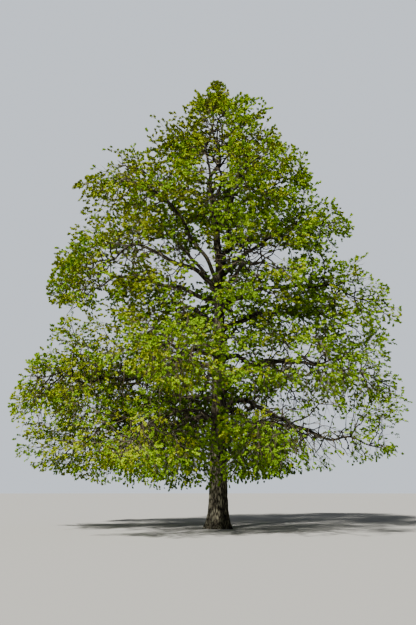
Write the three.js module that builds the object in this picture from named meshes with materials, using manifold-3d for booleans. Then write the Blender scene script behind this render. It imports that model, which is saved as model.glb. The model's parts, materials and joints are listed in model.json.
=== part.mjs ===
// A mature, open-grown oak in young spring leaf: a broad, rounded pyramid of a crown that hangs
// almost to the ground round one upright trunk. The trunk, each bough and each mass of foliage
// is a solid of its own. Millimetres, +Z up, the origin on the trunk's axis at ground level.
// +X is the photograph's right, and the photograph looks along +Y.
import * as THREE from "three";
import { mergeVertices } from "three/addons/utils/BufferGeometryUtils.js";
import Module from "manifold-3d";

const wasm = await Module();
wasm.setup();

// The crown, as a profile of radius against height.
const HEIGHT = 23200; // from the ground to the topmost leaf
const CROWN_RADIUS = 8850; // the widest reach from the trunk's axis
const WIDEST_HEIGHT = 4300; // the height of that widest reach
const CROWN_FULLNESS = 2.3; // how long the flank stays steep before it turns in
const CROWN_POINT = 0.87; // how sharply the top closes
const CROWN_TUCK = 0.35; // how fast the crown draws in again below its widest
const LEFT_REACH = 1.035; // the -X side's share of the profile
const RIGHT_REACH = 0.965; // the +X side's share
// Where the crown swells beyond its profile, or sinks: height, spread in height, reach at +X and
// reach at -X.
const SWELLS = [
  [21200, 1000, 450, 0],
  [17300, 1500, -350, 750],
  [15000, 700, -350, 0],
  [13200, 900, 0, -350],
  [12500, 650, -1650, 0],
  [9500, 700, 400, 0],
  [8700, 1700, 0, -1250],
  [5200, 1500, 150, 100],
];
const SKIRT_HEIGHT = 1750; // how low the skirt would hang close to the trunk
const SKIRT_LIFT = 600; // how much higher it hangs on the +X side
const SKIRT_RISE = 1250; // how far it has risen at the crown's edge

// The trunk.
const TRUNK_RADIUS = 445; // at the foot, before the flare
const TRUNK_TOP = 19700; // where the leader enters the topmost mass
const TRUNK_VANISH = 21600; // the height at which the taper would reach nothing
const TRUNK_TAPER = 0.95;
const FLARE = 190; // what the root flare adds to the radius at ground level
const FLARE_HEIGHT = 420; // the height over which the flare dies away
const BUTTRESSES = 5;
const BUTTRESS_SHARE = 0.45; // how far the flare swells and sinks round the foot
const BUTTRESS_TURN = 0.6; // where round the foot the first buttress stands, in radians
const TRUNK_SIDES = 15;
const TRUNK_RINGS = 17;
const RING_CROWDING = 1.5; // rings stand closer towards the foot
// The leader's bends: height, and how far it stands towards +X there.
const BENDS = [
  [0, 0],
  [12400, 110],
  [13800, -20],
  [17200, -350],
  [18400, 180],
  [19700, 20],
];
const DEPTH_SWAY = 90; // how far the leader strays to and fro along Y
const DEPTH_TURNS = 9; // how fast, in radians over the tree's height

const SEAM = 0.3; // the gap between two solids that meet
const BOUGH_SIDES = 6;
const BOUGH_RINGS = 6;
const WANDER = 170; // how far a bough strays sideways from its even curve
const WANDER_TURNS = [1.2, 2.2]; // how often it strays to and fro, in whole waves at the least and most
const CURVE_PULL = 0.36; // how long a curve keeps to the way it leaves and arrives
const AZIMUTH_STRAY = 7; // degrees that a bough may stand off its even place in the whorl
const REACH_STRAY = 0.07; // the share by which a bough may be longer or shorter
const TIP_STRAY = 150; // how far a bough's tip may stand off its tier's height
const OUTER_STRAY = 350; // and a stem's end
const LIFT_KEPT = 0.4; // how much of the stagger of its root a bough's tip keeps

// Each tier is a whorl of boughs, with a mass of foliage on each, or of masses whose stems leave
// the leader. Angles are in degrees. A pair of numbers is the tier's mean and what is added to
// it at +X and taken off at -X. The scale is that of the twigs and sprays.
const TIERS = [
  {
    name: "skirt",
    count: 6,
    turn: 180,
    root: [5150, -380],
    stagger: 850,
    rise: [27, 0],
    tipReach: 4300,
    tipHeight: [4750, -150],
    fall: [-27, 0],
    thick: 125,
    outerHeight: [3250, 250],
    outerFall: -42,
  },
  {
    name: "lower",
    count: 7,
    turn: 0,
    root: [7150, -780],
    stagger: 850,
    rise: [20, 20],
    tipReach: 4250,
    tipHeight: [7000, 330],
    fall: [-16, 2],
    thick: 135,
    outerHeight: [6500, 100],
    outerFall: -24,
  },
  {
    name: "middle",
    count: 7,
    turn: 180,
    root: [9950, -400],
    stagger: 850,
    rise: [29, 2],
    tipReach: 4000,
    tipHeight: [11150, -620],
    fall: [4, -6],
    thick: 125,
    outerHeight: [10500, -500],
    outerFall: -12,
  },
  {
    name: "upper",
    count: 5,
    turn: 0,
    root: [11250, 450],
    stagger: 700,
    rise: [54, -8],
    tipReach: 3100,
    tipHeight: [14650, -320],
    fall: [37, -6],
    thick: 105,
    outerHeight: [14900, -300],
    outerFall: 0,
  },
  {
    name: "shoulder",
    count: 4,
    turn: 180,
    root: [15300, 0],
    stagger: 500,
    rise: [50, 0],
    outerHeight: [17500, -450],
    outerFall: 12,
    scale: 0.9,
  },
  {
    name: "top",
    count: 3,
    turn: 24,
    root: [17600, 0],
    stagger: 600,
    rise: [52, 0],
    outerHeight: [20200, 0],
    outerFall: 30,
    scale: 0.8,
  },
];
const TIP_SCALE = 0.62;
const TIP_KEY = 90;
const PEAK_SHIFT = 250; // how far the topmost shoot stands towards +X

// Foliage. A spray stands for a leafy shoot, so it is much larger than one leaf.
const BOUGH_TIP = 68; // a bough's radius where it enters its mass, and a stem's where it starts
const STEM_END = 56;
const BOUGH_STEM_BARE = 0.06; // the share of a stem that has no twigs, beyond its bough
const LEADER_STEM_BARE = 0.3; // and where it grows from the leader
const STEM_RINGS = 3;
const STEM_SHORT = 0.62; // the share of a spray's length that a stem stops short of the outline
const TWIG_ROOT = 27;
const TWIG_END = 24;
const TWIG_SIDES = 3;
const TWIG_RINGS = 2;
const TWIGS = 8; // side twigs on a stem
const TWIG_SPAN = 2500; // the longest side twig
const TWIG_SHORTEN = 0.43; // the share by which the last one is shorter
const TWIG_TURN = 0.3; // how far a twig turns the stem's way
const TWIG_OPENING = [100, 38]; // degrees between a stem and its first and last side twigs
const FLATNESS = 0.8; // side shoots keep this share of their rise
const SPIRAL = 137.5; // degrees from one side shoot to the next, round the limb
const SPIRAL_STRAY = 0.5; // and how far off that it may stand, in radians
const SPACING_STRAY = 0.7; // how unevenly side shoots are spaced, as a share of the way between them
const SPRAY_LENGTH = 2600;
const SPRAY_WIDTH = 2000;
const SPRAY_THICK = 75;
const SPRAY_SINK = 8; // how far past a twig's axis a spray's root lies
const SPRAY_SHOULDER = 0.58; // the share of a spray's length at which it is widest
const SPRAY_OPENING = [62, 40]; // degrees between a limb and its side sprays
const SPRAYS = 1; // side sprays on a twig, besides the one at its end
const TWIG_BARE = 0.4; // the share of a twig below its first side spray
const STEM_SPRAYS = 3; // side sprays on a stem
const STEM_BARE = 0.45;
const SPRAY_VARIES = 0.06; // the share by which a spray may be larger or smaller
const SPRAY_STRAY = 0.45; // how far a side spray strays from its way, for each unit of length
const SPRAY_ARM = 0.35; // half a spray's width, less its pointed corners, for the test of touching
const SPRAY_FACING = 0.15; // how far sprays face up rather than to a side
const SPRAY_EDGE = 0.7; // and how far round the crown, so that they fill its outline
const SPRAY_ROOM = 0.55; // the share of a spray that must fit beyond its twig's end
const SPRAY_BROAD = [0.3, 0.7]; // the shares of a spray's length between which it is broad
const TRIES = 11; // for a twig or a spray that doesn't fit
const SPRAY_SHRINK = 0.93; // each further try is this much smaller
const TWIG_SHRINK = 0.86;
const SPACE_FLATTEN = 1.25; // foliage spaces are this much wider than they are high
const SPACE_GAP = 50; // half the least gap between two masses
const LIMB_GAP = 35; // the least gap between foliage and a limb
const SAME_CORNER = 0.01; // corners of a shape that lie nearer than this are one
const CORNER_GAPS = [0.001, 0.0023, 0.0051]; // how near two corners of a solid may not come
// What turns one limb's key into the keys of its shoots, and into other chances for the same limb.
const STEM_SPRAY_KEY = 31;
const TWIG_KEY = 20;
const TWIG_SPRAY_KEY = 7;
const NEXT_KEY = 0.1;

const BARK = { color: 0x5b5044, roughness: 0.95, metalness: 0 };
const LEAF = { color: 0x84962a, roughness: 0.7, metalness: 0 };

const UP = new THREE.Vector3(0, 0, 1);
const radians = THREE.MathUtils.degToRad;
const mixed = THREE.MathUtils.lerp;

// A repeatable number from 0 to 1 for a place in the tree.
function chance(a, b = 0, c = 0) {
  const wave = Math.sin(a * 12.9898 + b * 78.233 + c * 37.719) * 43758.5453;
  return wave - Math.floor(wave);
}

// The same, from -1 to 1.
const sway = (a, b, c) => 2 * chance(a, b, c) - 1;

function heading(azimuth, elevation) {
  const level = Math.cos(elevation);
  return new THREE.Vector3(
    level * Math.cos(azimuth),
    level * Math.sin(azimuth),
    Math.sin(elevation),
  );
}

function leaning(pair, azimuth) {
  return pair[0] + pair[1] * Math.cos(azimuth);
}

// The crown's radius at a height, towards an azimuth.
function crownRadius(height, azimuth) {
  const side = mixed(LEFT_REACH, RIGHT_REACH, (1 + Math.cos(azimuth)) / 2);
  const share = (height - WIDEST_HEIGHT) / (HEIGHT - WIDEST_HEIGHT);
  if (share >= 1) return 0;
  const closing = share > 0 ? (1 - share ** CROWN_FULLNESS) ** CROWN_POINT : 1 - CROWN_TUCK * share ** 2;
  const swell = SWELLS.reduce((sum, [level, spread, right, left]) => {
    const towards = Math.cos(azimuth) > 0 ? right : left;
    return sum + towards * Math.cos(azimuth) ** 2 * Math.exp(-(((height - level) / spread) ** 2));
  }, 0);
  return CROWN_RADIUS * side * closing + swell;
}

function insideCrown(point) {
  const azimuth = Math.atan2(point.y, point.x);
  const radius = Math.hypot(point.x, point.y);
  const rise = SKIRT_RISE * (radius / CROWN_RADIUS) ** 2;
  const skirt = SKIRT_HEIGHT + SKIRT_LIFT * Math.max(0, Math.cos(azimuth)) + rise;
  return point.z > skirt && radius < crownRadius(point.z, azimuth);
}

// Where the leader stands at a height: it eases from bend to bend.
function leaderAt(height) {
  const next = Math.max(1, BENDS.findIndex(([z]) => z >= height));
  const [[lowZ, lowX], [highZ, highX]] = [BENDS[next - 1], BENDS[next]];
  const share = THREE.MathUtils.smoothstep(height, lowZ, highZ);
  const risen = height / HEIGHT;
  const depth = DEPTH_SWAY * risen * Math.sin(DEPTH_TURNS * risen);
  return new THREE.Vector3(mixed(lowX, highX, share), depth, height);
}

const ringHeight = (ring) => TRUNK_TOP * (ring / TRUNK_RINGS) ** RING_CROWDING;
const trunkRings = Array.from({ length: TRUNK_RINGS + 1 }, (_, ring) => leaderAt(ringHeight(ring)));

// The trunk's axis at a height, straight from ring to ring.
function trunkAxis(height) {
  const next = Math.max(1, trunkRings.findIndex(({ z }) => z >= height));
  const [low, high] = [trunkRings[next - 1], trunkRings[next]];
  return low.clone().lerp(high, (height - low.z) / (high.z - low.z));
}

function trunkRadius(height) {
  return TRUNK_RADIUS * (1 - height / TRUNK_VANISH) ** TRUNK_TAPER;
}

// The trunk, or with something extra all round, what clears a space for it.
function trunkShape(extra) {
  const shape = new THREE.CylinderGeometry(1, 1, 1, TRUNK_SIDES, TRUNK_RINGS);
  const at = shape.getAttribute("position");
  for (let i = 0; i < at.count; i++) {
    const ring = Math.round((at.getY(i) + 0.5) * TRUNK_RINGS);
    const height = ringHeight(ring);
    const round = Math.atan2(at.getX(i), at.getZ(i));
    const swell = 1 + BUTTRESS_SHARE * Math.cos(BUTTRESSES * round + BUTTRESS_TURN);
    const flare = FLARE * swell * Math.exp(-height / FLARE_HEIGHT);
    const radius = Math.hypot(at.getX(i), at.getZ(i)) * (trunkRadius(height) + flare + extra);
    const { x, y } = trunkRings[ring];
    // The cylinder's x turns to +Y and its z to +X, which sets it upright without a mirror.
    at.setXYZ(i, x + radius * Math.cos(round), y + radius * Math.sin(round), height);
  }
  return shape;
}

// A limb's course: straight stretches between evenly spaced points of a curve.
class Course {
  constructor(curve, stretches) {
    this.last = stretches;
    this.points = curve.getSpacedPoints(stretches);
    this.ways = this.points.map((_, i) => curve.getTangentAt(i / stretches));
  }

  mixAt(share, values) {
    const step = Math.min(this.last - 1, Math.floor(share * this.last));
    return values[step].clone().lerp(values[step + 1], share * this.last - step);
  }

  place(share) {
    return this.mixAt(share, this.points);
  }

  way(share) {
    return this.mixAt(share, this.ways).normalize();
  }

  span() {
    return this.points[0].distanceTo(this.points[this.last]);
  }
}

// A limb: a cylinder whose rings are carried from section to section. A section has its place,
// the way on from there, its half width and its half depth. The last one may be a point.
function limbShape(sections, normal, sides) {
  const last = sections.length - 1;
  const pointed = sections[last].wide === 0;
  const shape = new THREE.CylinderGeometry(pointed ? 0 : 1, 1, 1, sides, last);
  const at = shape.getAttribute("position");
  for (let i = 0; i < at.count; i++) {
    const { place, toward, wide, deep } = sections[Math.round((at.getY(i) + 0.5) * last)];
    const across = new THREE.Vector3().crossVectors(toward, normal).normalize();
    const top = new THREE.Vector3().crossVectors(across, toward);
    const even = Math.hypot(at.getX(i), at.getZ(i)) || 1;
    const corner = place.clone().addScaledVector(across, (at.getX(i) / even) * wide);
    corner.addScaledVector(top, (at.getZ(i) / even) * deep);
    at.setXYZ(i, corner.x, corner.y, corner.z);
  }
  return shape;
}

// The sections of an evenly tapering limb.
function taper(course, rootRadius, endRadius) {
  return course.points.map((place, ring) => {
    const radius = mixed(rootRadius, endRadius, ring / course.last);
    return { place, toward: course.ways[ring], wide: radius, deep: radius };
  });
}

// The two sections that turn a limb's end into a spray: its shoulder and its tip.
function sprayEnd(course, size) {
  const [end, toward] = [course.place(1), course.way(1)];
  const at = (share) => end.clone().addScaledVector(toward, SPRAY_LENGTH * size * share);
  return [
    {
      place: at(SPRAY_SHOULDER),
      toward,
      wide: (SPRAY_WIDTH * size) / Math.sqrt(3),
      deep: SPRAY_THICK / 1.5,
    },
    { place: at(1), toward, wide: 0, deep: 0 },
  ];
}

// A side spray: a thin blade of four faces, pointed at its root and tip, with a ridge between.
// It starts as a tetrahedron with edges as long as the root of 2, one along X and one along Y.
function sprayShape(root, along, normal, size) {
  const across = new THREE.Vector3().crossVectors(along, normal).normalize();
  const top = new THREE.Vector3().crossVectors(across, along);
  const turn = new THREE.Matrix4().makeBasis(across, along, top).setPosition(root);
  const shape = new THREE.TetrahedronGeometry(Math.sqrt(3) / 2).rotateZ(Math.PI / 4);
  shape.scale(SPRAY_WIDTH * size * Math.SQRT1_2, SPRAY_LENGTH * size * Math.SQRT1_2, SPRAY_THICK);
  const at = shape.getAttribute("position");
  for (let i = 0; i < at.count; i++) {
    const share = at.getZ(i) > 0 ? 0.5 : SPRAY_SHOULDER;
    at.setY(i, at.getY(i) + SPRAY_LENGTH * size * share - SPRAY_SINK);
    at.setZ(i, at.getZ(i) - SPRAY_THICK / 2);
  }
  return shape.applyMatrix4(turn);
}

function solidOf(shape) {
  const bare = shape.clone();
  bare.deleteAttribute("normal");
  bare.deleteAttribute("uv");
  const merged = mergeVertices(bare, SAME_CORNER);
  const mesh = new wasm.Mesh({
    numProp: 3,
    vertProperties: merged.getAttribute("position").array,
    triVerts: new Uint32Array(merged.getIndex().array),
  });
  return new wasm.Manifold(mesh);
}

function shapeOf(solid) {
  const mesh = solid.getMesh();
  return new THREE.BufferGeometry()
    .setAttribute("position", new THREE.BufferAttribute(mesh.vertProperties, 3))
    .setIndex(new THREE.BufferAttribute(mesh.triVerts, 1));
}

// Whether a solid's corners all stay apart at the precision of its coordinates.
function cornersApart(solid) {
  const shape = shapeOf(solid);
  return CORNER_GAPS.every(
    (gap) => mergeVertices(shape, gap).getAttribute("position").count === solid.numVert(),
  );
}

// What holds together as one body: loose scraps and sealed hollows are dropped.
function largestBody(solid) {
  return solid.decompose().reduce((largest, body) =>
    body.volume() > largest.volume() ? body : largest,
  );
}

// Cubic curve from one point to another, leaving and arriving along the given headings.
function sweep(from, leaving, to, arriving) {
  const span = from.distanceTo(to) * CURVE_PULL;
  return new THREE.CubicBezierCurve3(
    from,
    from.clone().addScaledVector(leaving, span),
    to.clone().addScaledVector(arriving, -span),
    to,
  );
}

// A bough's curve, with a slow sideways stray that leaves its two ends alone.
function strayed(curve, key, azimuth) {
  const side = heading(azimuth + Math.PI / 2, 0);
  const points = curve.getSpacedPoints(BOUGH_RINGS * 2);
  points.forEach((point, i) => {
    const share = i / (points.length - 1);
    const bow = Math.sin(Math.PI * share) ** 2;
    const turns = 2 * Math.PI * (mixed(...WANDER_TURNS, chance(key, 7)) * share + chance(key, 8));
    point.addScaledVector(side, WANDER * bow * Math.sin(turns));
    point.z += (WANDER / 2) * bow * Math.cos(turns);
  });
  return new THREE.CatmullRomCurve3(points);
}

// The distance between segments a-b and c-d.
function segmentGap(a, b, c, d) {
  const ab = b.clone().sub(a);
  const cd = d.clone().sub(c);
  const ca = a.clone().sub(c);
  const [aa, ee, f] = [ab.dot(ab), cd.dot(cd), cd.dot(ca)];
  const [along, beside] = [ab.dot(ca), ab.dot(cd)];
  const clamp = (value) => Math.min(1, Math.max(0, value));
  const spread = aa * ee - beside * beside;
  let s = spread > 0 ? clamp((beside * f - along * ee) / spread) : 0;
  const t = clamp((beside * s + f) / ee);
  s = clamp((beside * t - along) / aa);
  return a.clone().addScaledVector(ab, s).distanceTo(c.clone().addScaledVector(cd, t));
}

// The straight stretches of the trunk, the boughs and the stems, each with its owner's name.
const stretches = [];

function addStretches(owner, points, radiusAt) {
  for (let i = 1; i < points.length; i++) {
    const radius = radiusAt((i - 1) / (points.length - 1));
    stretches.push({ owner, from: points[i - 1], to: points[i], radius });
  }
}

const clearOfLimbs = (from, to, radius, owner) =>
  stretches.every((limb) => {
    if (limb.owner === owner) return true;
    return segmentGap(from, to, limb.from, limb.to) > limb.radius + radius + LIMB_GAP;
  });

// Every bough and the stem of every mass, from the tiers.
function planTree() {
  const boughs = [];
  const masses = [];
  TIERS.forEach((tier, level) => {
    for (let k = 0; k < tier.count; k++) {
      const key = 1 + level * 10 + k;
      const stray = k === 0 ? 0 : AZIMUTH_STRAY * sway(key, 1);
      const azimuth = radians((k / tier.count) * 360 + tier.turn + stray);
      const half = Math.floor(tier.count / 2);
      const lift = (tier.stagger * (((k * half + half) % tier.count) - half)) / half;
      const leaving = heading(azimuth, radians(leaning(tier.rise, azimuth)));
      const outerZ = leaning(tier.outerHeight, azimuth) + OUTER_STRAY * sway(key, 2);
      const scale = tier.scale ?? 1;
      const outerR = crownRadius(outerZ, azimuth) - SPRAY_LENGTH * scale * STEM_SHORT;
      const outer = heading(azimuth, 0).multiplyScalar(outerR).setZ(outerZ);
      const outward = heading(azimuth, radians(tier.outerFall));
      const onTrunk = !tier.tipReach;
      const bare = onTrunk ? LEADER_STEM_BARE : BOUGH_STEM_BARE;
      const mass = { name: `${tier.name}_${k + 1}`, key, scale, onTrunk, bare };
      let from = trunkAxis(leaning(tier.root, azimuth) + lift);
      let toward = leaving;
      if (!onTrunk) {
        const tip = heading(azimuth, 0).multiplyScalar(tier.tipReach);
        tip.multiplyScalar(1 + REACH_STRAY * sway(key, 3));
        tip.z = leaning(tier.tipHeight, azimuth) + lift * LIFT_KEPT + TIP_STRAY * sway(key, 4);
        const arriving = heading(azimuth, radians(leaning(tier.fall, azimuth)));
        const curve = strayed(sweep(from, leaving, tip, arriving), key, azimuth);
        const course = new Course(curve, BOUGH_RINGS);
        boughs.push({ name: mass.name, course, thick: tier.thick });
        toward = course.way(1);
        from = course.place(1).addScaledVector(toward, SEAM);
      }
      mass.stem = new Course(sweep(from, toward, outer, outward), STEM_RINGS);
      mass.thick = BOUGH_TIP;
      masses.push(mass);
    }
  });
  const tip = trunkAxis(TRUNK_TOP).setZ(TRUNK_TOP + SEAM);
  const peak = new THREE.Vector3(PEAK_SHIFT, 0, HEIGHT - SPRAY_LENGTH * TIP_SCALE * STEM_SHORT);
  const thick = trunkRadius(TRUNK_TOP);
  const stem = new Course(sweep(tip, UP, peak, UP), STEM_RINGS);
  const bare = BOUGH_STEM_BARE;
  masses.push({ name: "tip", key: TIP_KEY, scale: TIP_SCALE, onTrunk: false, bare, stem, thick });
  for (const mass of masses) mass.centre = mass.stem.place((1 + mass.bare) / 2);
  return { boughs, masses };
}

// Whether a point is in a mass's own space: nearer to its centre than to any other mass's.
function inOwnSpace(point, mass, masses) {
  const flat = (v) => new THREE.Vector3(v.x, v.y, v.z * SPACE_FLATTEN);
  const [here, own] = [flat(point), flat(mass.centre)];
  return masses.every((other) => {
    if (other.name === mass.name) return true;
    const theirs = flat(other.centre);
    const apart = here.distanceToSquared(theirs) - here.distanceToSquared(own);
    return apart / (2 * own.distanceTo(theirs)) > SPACE_GAP;
  });
}

// The side shoots of a limb: they stand round it in a spiral and open less towards its end.
function* sideShoots(course, count, first, openings, key) {
  for (let i = 0; i < count; i++) {
    const share = first + ((1 - first) * (i + SPACING_STRAY * chance(key, i, 1))) / count;
    const way = course.way(share);
    const side = new THREE.Vector3(way.y + 0.01, -way.x, 0).normalize();
    side.applyAxisAngle(way, radians(SPIRAL * i) + SPIRAL_STRAY * sway(key, i, 2));
    const opening = radians(mixed(...openings, share));
    const direction = way.multiplyScalar(Math.cos(opening));
    direction.addScaledVector(side, Math.sin(opening));
    direction.z *= FLATNESS;
    yield { i, share, root: course.place(share), direction: direction.normalize() };
  }
}

// The corners of a shape that lie further than a reach from a point.
function cornersBeyond(shape, point, reach) {
  const at = shape.getAttribute("position");
  const corners = Array.from({ length: at.count }, (_, i) =>
    new THREE.Vector3().fromBufferAttribute(at, i),
  );
  return corners.filter((corner) => corner.distanceTo(point) > reach);
}

// One mass: its stem, its side twigs and their sprays, each only where it keeps to its space.
function foliage(mass, masses) {
  const limbs = [];
  const sprays = [];
  const fits = (points) => points.every((p) => insideCrown(p) && inOwnSpace(p, mass, masses));
  const crosses = (solid, others) => others.some((other) => !solid.intersect(other).isEmpty());
  const sizeAt = (key, attempt) =>
    mass.scale * (1 + SPRAY_VARIES * sway(key, 3)) * SPRAY_SHRINK ** attempt;

  function facing(root, key, attempt) {
    const round = heading(Math.atan2(root.y, root.x) + Math.PI / 2, 0);
    const any = new THREE.Vector3(sway(key, attempt, 7), sway(key, attempt, 8), SPRAY_FACING);
    return round.multiplyScalar(SPRAY_EDGE).add(any);
  }

  // A limb that ends in a spray, and whether one fits.
  function grow(course, thick, key) {
    for (let attempt = 0; attempt < TRIES; attempt++) {
      const size = sizeAt(key, attempt);
      const sections = [...taper(course, ...thick), ...sprayEnd(course, size)];
      const shape = limbShape(sections, facing(course.place(1), key, attempt), TWIG_SIDES);
      const beyond = course.span() + SPRAY_LENGTH * size * SPRAY_BROAD[0];
      const [shoulder, tip] = sections.slice(-2).map(({ place }) => place);
      if (!fits(cornersBeyond(shape, course.place(0), beyond))) continue;
      if (!clearOfLimbs(shoulder, tip, SPRAY_WIDTH * size * SPRAY_ARM, mass.name)) continue;
      const solid = solidOf(shape);
      if (crosses(solid, [...sprays, ...limbs.slice(1)])) continue;
      limbs.push(solid);
      return true;
    }
    return false;
  }

  function addStem() {
    const thick = [mass.thick, STEM_END];
    if (grow(mass.stem, thick, mass.key * STEM_SPRAY_KEY)) return;
    limbs.push(solidOf(limbShape(taper(mass.stem, ...thick), UP, TWIG_SIDES)));
  }

  // A side twig, as short as it must be to fit. Null where none does.
  function addTwig(shoot) {
    const span = mass.scale * TWIG_SPAN * (1 - TWIG_SHORTEN * shoot.share);
    const key = mass.key * TWIG_KEY + shoot.i;
    for (let attempt = 0; attempt < TRIES; attempt++) {
      const at = (reach) => shoot.root.clone().addScaledVector(shoot.direction, reach);
      const reach = span * TWIG_SHRINK ** attempt;
      const end = at(reach);
      if (!fits([end, at(reach + SPRAY_LENGTH * mass.scale * SPRAY_ROOM)])) continue;
      if (!clearOfLimbs(at(BOUGH_TIP * 3), end, TWIG_ROOT, mass.name)) continue;
      const turned = shoot.direction.clone().lerp(mass.stem.way(shoot.share), TWIG_TURN);
      const curve = sweep(shoot.root, shoot.direction, end, turned.normalize());
      const course = new Course(curve, TWIG_RINGS);
      if (!grow(course, [TWIG_ROOT, TWIG_END], key * TWIG_SPRAY_KEY)) continue;
      return { course, solid: limbs.at(-1), key };
    }
    return null;
  }

  // A side spray, as small as it must be to fit.
  function addSpray({ root, direction, i }, limb, limbKey) {
    const key = limbKey + 1 + i;
    for (let attempt = 0; attempt < TRIES; attempt++) {
      const size = sizeAt(key, attempt);
      const stray = [4, 5, 6].map((axis) => SPRAY_STRAY * sway(key, attempt, axis));
      const along = direction.clone().add(new THREE.Vector3(...stray)).normalize();
      const shape = sprayShape(root, along, facing(root, key, attempt), size);
      const at = (share) => root.clone().addScaledVector(along, SPRAY_LENGTH * size * share);
      const [near, far] = SPRAY_BROAD.map(at);
      if (!fits(cornersBeyond(shape, root, near.distanceTo(root)))) continue;
      if (!clearOfLimbs(near, far, SPRAY_WIDTH * size * SPRAY_ARM, mass.name)) continue;
      const solid = solidOf(shape);
      if (crosses(solid, [...sprays, ...limbs.filter((other) => other !== limb)])) continue;
      sprays.push(solid);
      return;
    }
  }

  addStem();
  const shoots = [...sideShoots(mass.stem, TWIGS, mass.bare, TWIG_OPENING, mass.key)];
  const twigs = shoots.map(addTwig).filter((twig) => twig !== null);
  for (const { course, solid, key } of twigs) {
    for (const shoot of sideShoots(course, SPRAYS, TWIG_BARE, SPRAY_OPENING, key)) {
      addSpray(shoot, solid, key * TWIG_SPRAY_KEY);
    }
  }
  const stemKey = mass.key * STEM_SPRAY_KEY;
  for (const shoot of sideShoots(mass.stem, STEM_SPRAYS, STEM_BARE, SPRAY_OPENING, stemKey)) {
    addSpray(shoot, limbs[0], stemKey);
  }
  return [...limbs, ...sprays];
}

// A mass as one solid. It grows again from other chances where its corners would run together.
function massSolid(mass, masses, trunkCutter) {
  const grown = wasm.Manifold.union(foliage(mass, masses));
  const body = largestBody(mass.onTrunk ? grown.subtract(trunkCutter) : grown);
  if (cornersApart(body)) return body;
  return massSolid({ ...mass, key: mass.key + NEXT_KEY }, masses, trunkCutter);
}

const oak = new THREE.Group();

function addPart(name, solid, look) {
  const mesh = new THREE.Mesh(shapeOf(solid), new THREE.MeshStandardMaterial(look));
  mesh.name = name;
  oak.add(mesh);
}

const { boughs, masses } = planTree();
const trunkCutter = solidOf(trunkShape(SEAM));
addPart("trunk", solidOf(trunkShape(0)), BARK);

addStretches("trunk", trunkRings, (share) => trunkRadius(ringHeight(share * TRUNK_RINGS)));
for (const { name, course, thick } of boughs) {
  const shape = limbShape(taper(course, thick, BOUGH_TIP), UP, BOUGH_SIDES);
  addPart(`bough_${name}`, solidOf(shape).subtract(trunkCutter), BARK);
  const radiusAt = (share) => mixed(thick, BOUGH_TIP, share);
  addStretches(`bough_${name}`, course.points, radiusAt);
}
for (const mass of masses) {
  addStretches(mass.name, mass.stem.points, () => mass.thick);
}
for (const mass of masses) {
  addPart(`foliage_${mass.name}`, massSolid(mass, masses, trunkCutter), LEAF);
}

export default oak;
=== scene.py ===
"""A mature, open-grown oak in young spring leaf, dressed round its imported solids.

The trunk and the boughs get meshes with the bark's relief. Each mass of foliage becomes a limb
that grows on from its bough by the same seeded rule as the solids, through branches, twigs and
shoots to single leaves. Metres, +Z up, the origin at ground level on the trunk's axis. +X is the
photograph's right, and the photograph looks along +Y.
"""

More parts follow.
